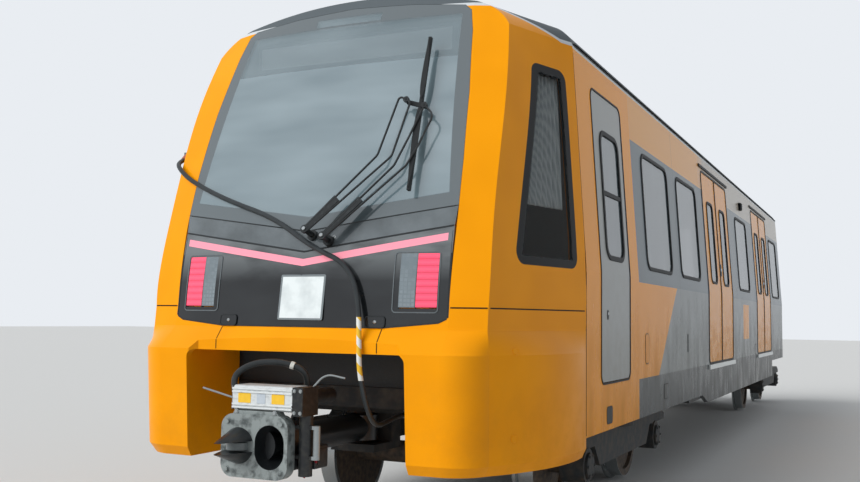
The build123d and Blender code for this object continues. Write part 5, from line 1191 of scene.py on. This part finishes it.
# Powder-coated sheet steel: mid grey, satin
case_coat = new_finish("powder_coated_case")
dust = node("TexNoise", node("Mapping", place, Scale=(1.0, 1.0, 0.5)), Scale=1000 / 110, Detail=6.0)
low = node("MapRange", z, 0.85, 0.55)
film = node("MULTIPLY", node("MapRange", dust, 0.35, 0.7), low)
tone = node("MixRGB", node("MULTIPLY", film, 0.6), "#51575a", "#5d544a")
node("OutputMaterial", node("BsdfPrincipled", tone, Roughness=0.5))
put_on(case_coat, "underfloor_cases")
for number, (start, length, half, low) in enumerate(CASES):
    count = max(2, round(length / 520))
    pitch = length / count
    tall = (FLOOR_LOW - low) / 1000
    for lid in range(count):
        middle = start + pitch * (lid + 0.5)
        spot = Vector((half / 1000 + 0.004, NOSE_Y + middle / 1000, RAIL_Z + (low + FLOOR_LOW) / 2000))
        louvred = (lid + number) % 3 == 1
        rounded_plate(spot, (1, 0, 0), (pitch / 1000 - 0.04, tall - 0.045), 0.014)
        press((0.022, (-0.004 if louvred else 0.004, 0, 0)))
        thicken(0.008, 0.0015, offset=-1)
        both_sides()
        settle(f"case_lid_{number}_{lid}", case_coat)
        if louvred:
            foot = spot + Vector((0.003, 0, 0.062 - tall / 2))
            rounded_plate(foot, (1, 0, 0.9), (pitch / 1000 - 0.11, 0.022), 0.004)
            thicken(0.002)
            repeat(int((tall - 0.10) / SLAT_PITCH), (0, 0, SLAT_PITCH))
            both_sides()
            settle(f"case_louvres_{number}_{lid}", case_coat)
        for word, along in (("front", -LATCH_SHARE), ("rear", LATCH_SHARE)):
            latch = spot + Vector((0.004, along * pitch / 1000, tall / 2 - 0.035))
            box_piece(latch, (0.014, 0.030, 0.055), 0.004)
            both_sides()
            settle(f"case_latch_{number}_{lid}_{word}", bright_steel)


# Bogies: welded steel frames on two wheelsets, with journal boxes outside the wheels under bolted covers.
# The frames are painted dark grey and carry the brown-grey dust that the brake blocks throw.
BOGIES = {"front_bogie": 3000, "rear_bogie": 12750}
HALF_BASE, WHEEL_RADIUS, TREAD = 1050, 370, (0.364, 0.368)
BOX_FACE, COVER_RADIUS, COVER_DEPTH, BOLT_CIRCLE = 1.0855, 0.088, 0.018, 0.073
# Bogie paint: dark grey, matt, dusty
bogie_coat = new_finish("dusty_bogie_paint")
dust = node("TexNoise", place, Scale=1000 / 55, Detail=6.0)
up_facing = node("MapRange", node("SeparateXYZ", node("NewGeometry", output=1), output=2), 0.3, 0.9)
film = node("MULTIPLY", node("MapRange", dust, 0.4, 0.7), node("ADD", up_facing, 0.6))
tone = node("MixRGB", film, "#2c3032", "#544a3f")
node("OutputMaterial", node("BsdfPrincipled", tone, Roughness=0.7))
put_on(bogie_coat, "front_bogie_frame", "rear_bogie_frame")
# Rolled and turned steel: the tread is polished by the rail, the web and the axle are brown with dust
wheel_steel = new_finish("rolled_wheel_steel")
nearest = None
for middle in BOGIES.values():
    for end in (-HALF_BASE, HALF_BASE):
        off = node("ABSOLUTE", node("SUBTRACT", y, NOSE_Y + (middle + end) / 1000))
        nearest = off if nearest is None else node("MINIMUM", nearest, off)
rise = node("SUBTRACT", z, RAIL_Z + WHEEL_RADIUS / 1000)
out = node("POWER", node("ADD", node("POWER", nearest, 2.0), node("POWER", rise, 2.0)), 0.5)
tread = node("MapRange", out, *TREAD)
rust = node("TexNoise", place, Scale=1000 / 40, Detail=6.0)
tone = node("MixRGB", node("MapRange", rust, 0.35, 0.7), "#3f3a35", "#6b5a4a")
tone = node("MixRGB", tread, tone, "#a7abac")
node("OutputMaterial", node("BsdfPrincipled", tone, Metallic=node("MULTIPLY", tread, 0.9),
                            Roughness=node("MapRange", tread, 0.0, 1.0, 0.7, 0.25)))
put_on(wheel_steel, "front_bogie_front_wheels", "front_bogie_rear_wheels", "rear_bogie_front_wheels",
       "rear_bogie_rear_wheels")
for body, middle in BOGIES.items():
    for end, reach in (("front", -HALF_BASE), ("rear", HALF_BASE)):
        for word, side in SIDES:
            wheel = f"{body}_{end}_{word}"
            centre = Vector((side * BOX_FACE, NOSE_Y + (middle + reach) / 1000, RAIL_Z + WHEEL_RADIUS / 1000))
            out = Vector((side, 0, 0))
            start_piece("cylinder", vertices=40, radius=COVER_RADIUS, depth=COVER_DEPTH, end_fill_type="NGON",
                        rotation=facing(out), location=centre + out * COVER_DEPTH / 2)
            bpy.ops.object.transform_apply(location=True, rotation=True, scale=True)
            press((0.014, (side * 0.010, 0, 0)), chosen=lambda way: way.x * side < -0.99)
            press((0.030, (side * 0.004, 0, 0)), chosen=lambda way: way.x * side > 0.99)
            round_edges(0.0015)
            settle(f"journal_cover_{wheel}", bogie_coat, body)
            turns = [turn * pi / 3 for turn in range(6)]
            ring = [centre + Vector((side * COVER_DEPTH, BOLT_CIRCLE * cos(turn), BOLT_CIRCLE * sin(turn)))
                    for turn in turns]
            bolt_ring(f"journal_bolts_{wheel}", ring, out, 0.018, 0.009, bogie_coat, body)


# Stage: a plain pale floor, a pale even sky that also shows in gloss and glass, and one broad key light from
# ahead and the car's right, so that the front is bright and the left flank in soft shade.
KEY_WAY = (-0.50, -0.70, 0.52)
floor_paint = new_finish("pale_floor_paint")
node("OutputMaterial", node("BsdfPrincipled", "#dcdcda", Roughness=0.9))
floor = start_piece("plane", size=160, location=(0, 0, 0))
floor.name = "pale_floor"
floor.data.materials.append(floor_paint)
world = bpy.data.worlds.new("pale_sky")
bpy.context.scene.world = world
world.use_nodes = True
tree = world.node_tree
tree.nodes.clear()
seen = node("MAXIMUM", node("LightPath"), node("LightPath", output=3))
seen = node("MAXIMUM", seen, node("LightPath", output=6))
node("OutputWorld", node("Background", "#e9edf2", node("MapRange", seen, 0.0, 1.0, 0.45, 1.0)))
bpy.ops.object.light_add(type="SUN", rotation=facing(KEY_WAY))
key = bpy.context.object
key.name = "key_light"
key.data.energy = 3.0
key.data.angle = radians(50)
key.visible_glossy = False
bpy.context.scene.view_settings.view_transform = "Standard"
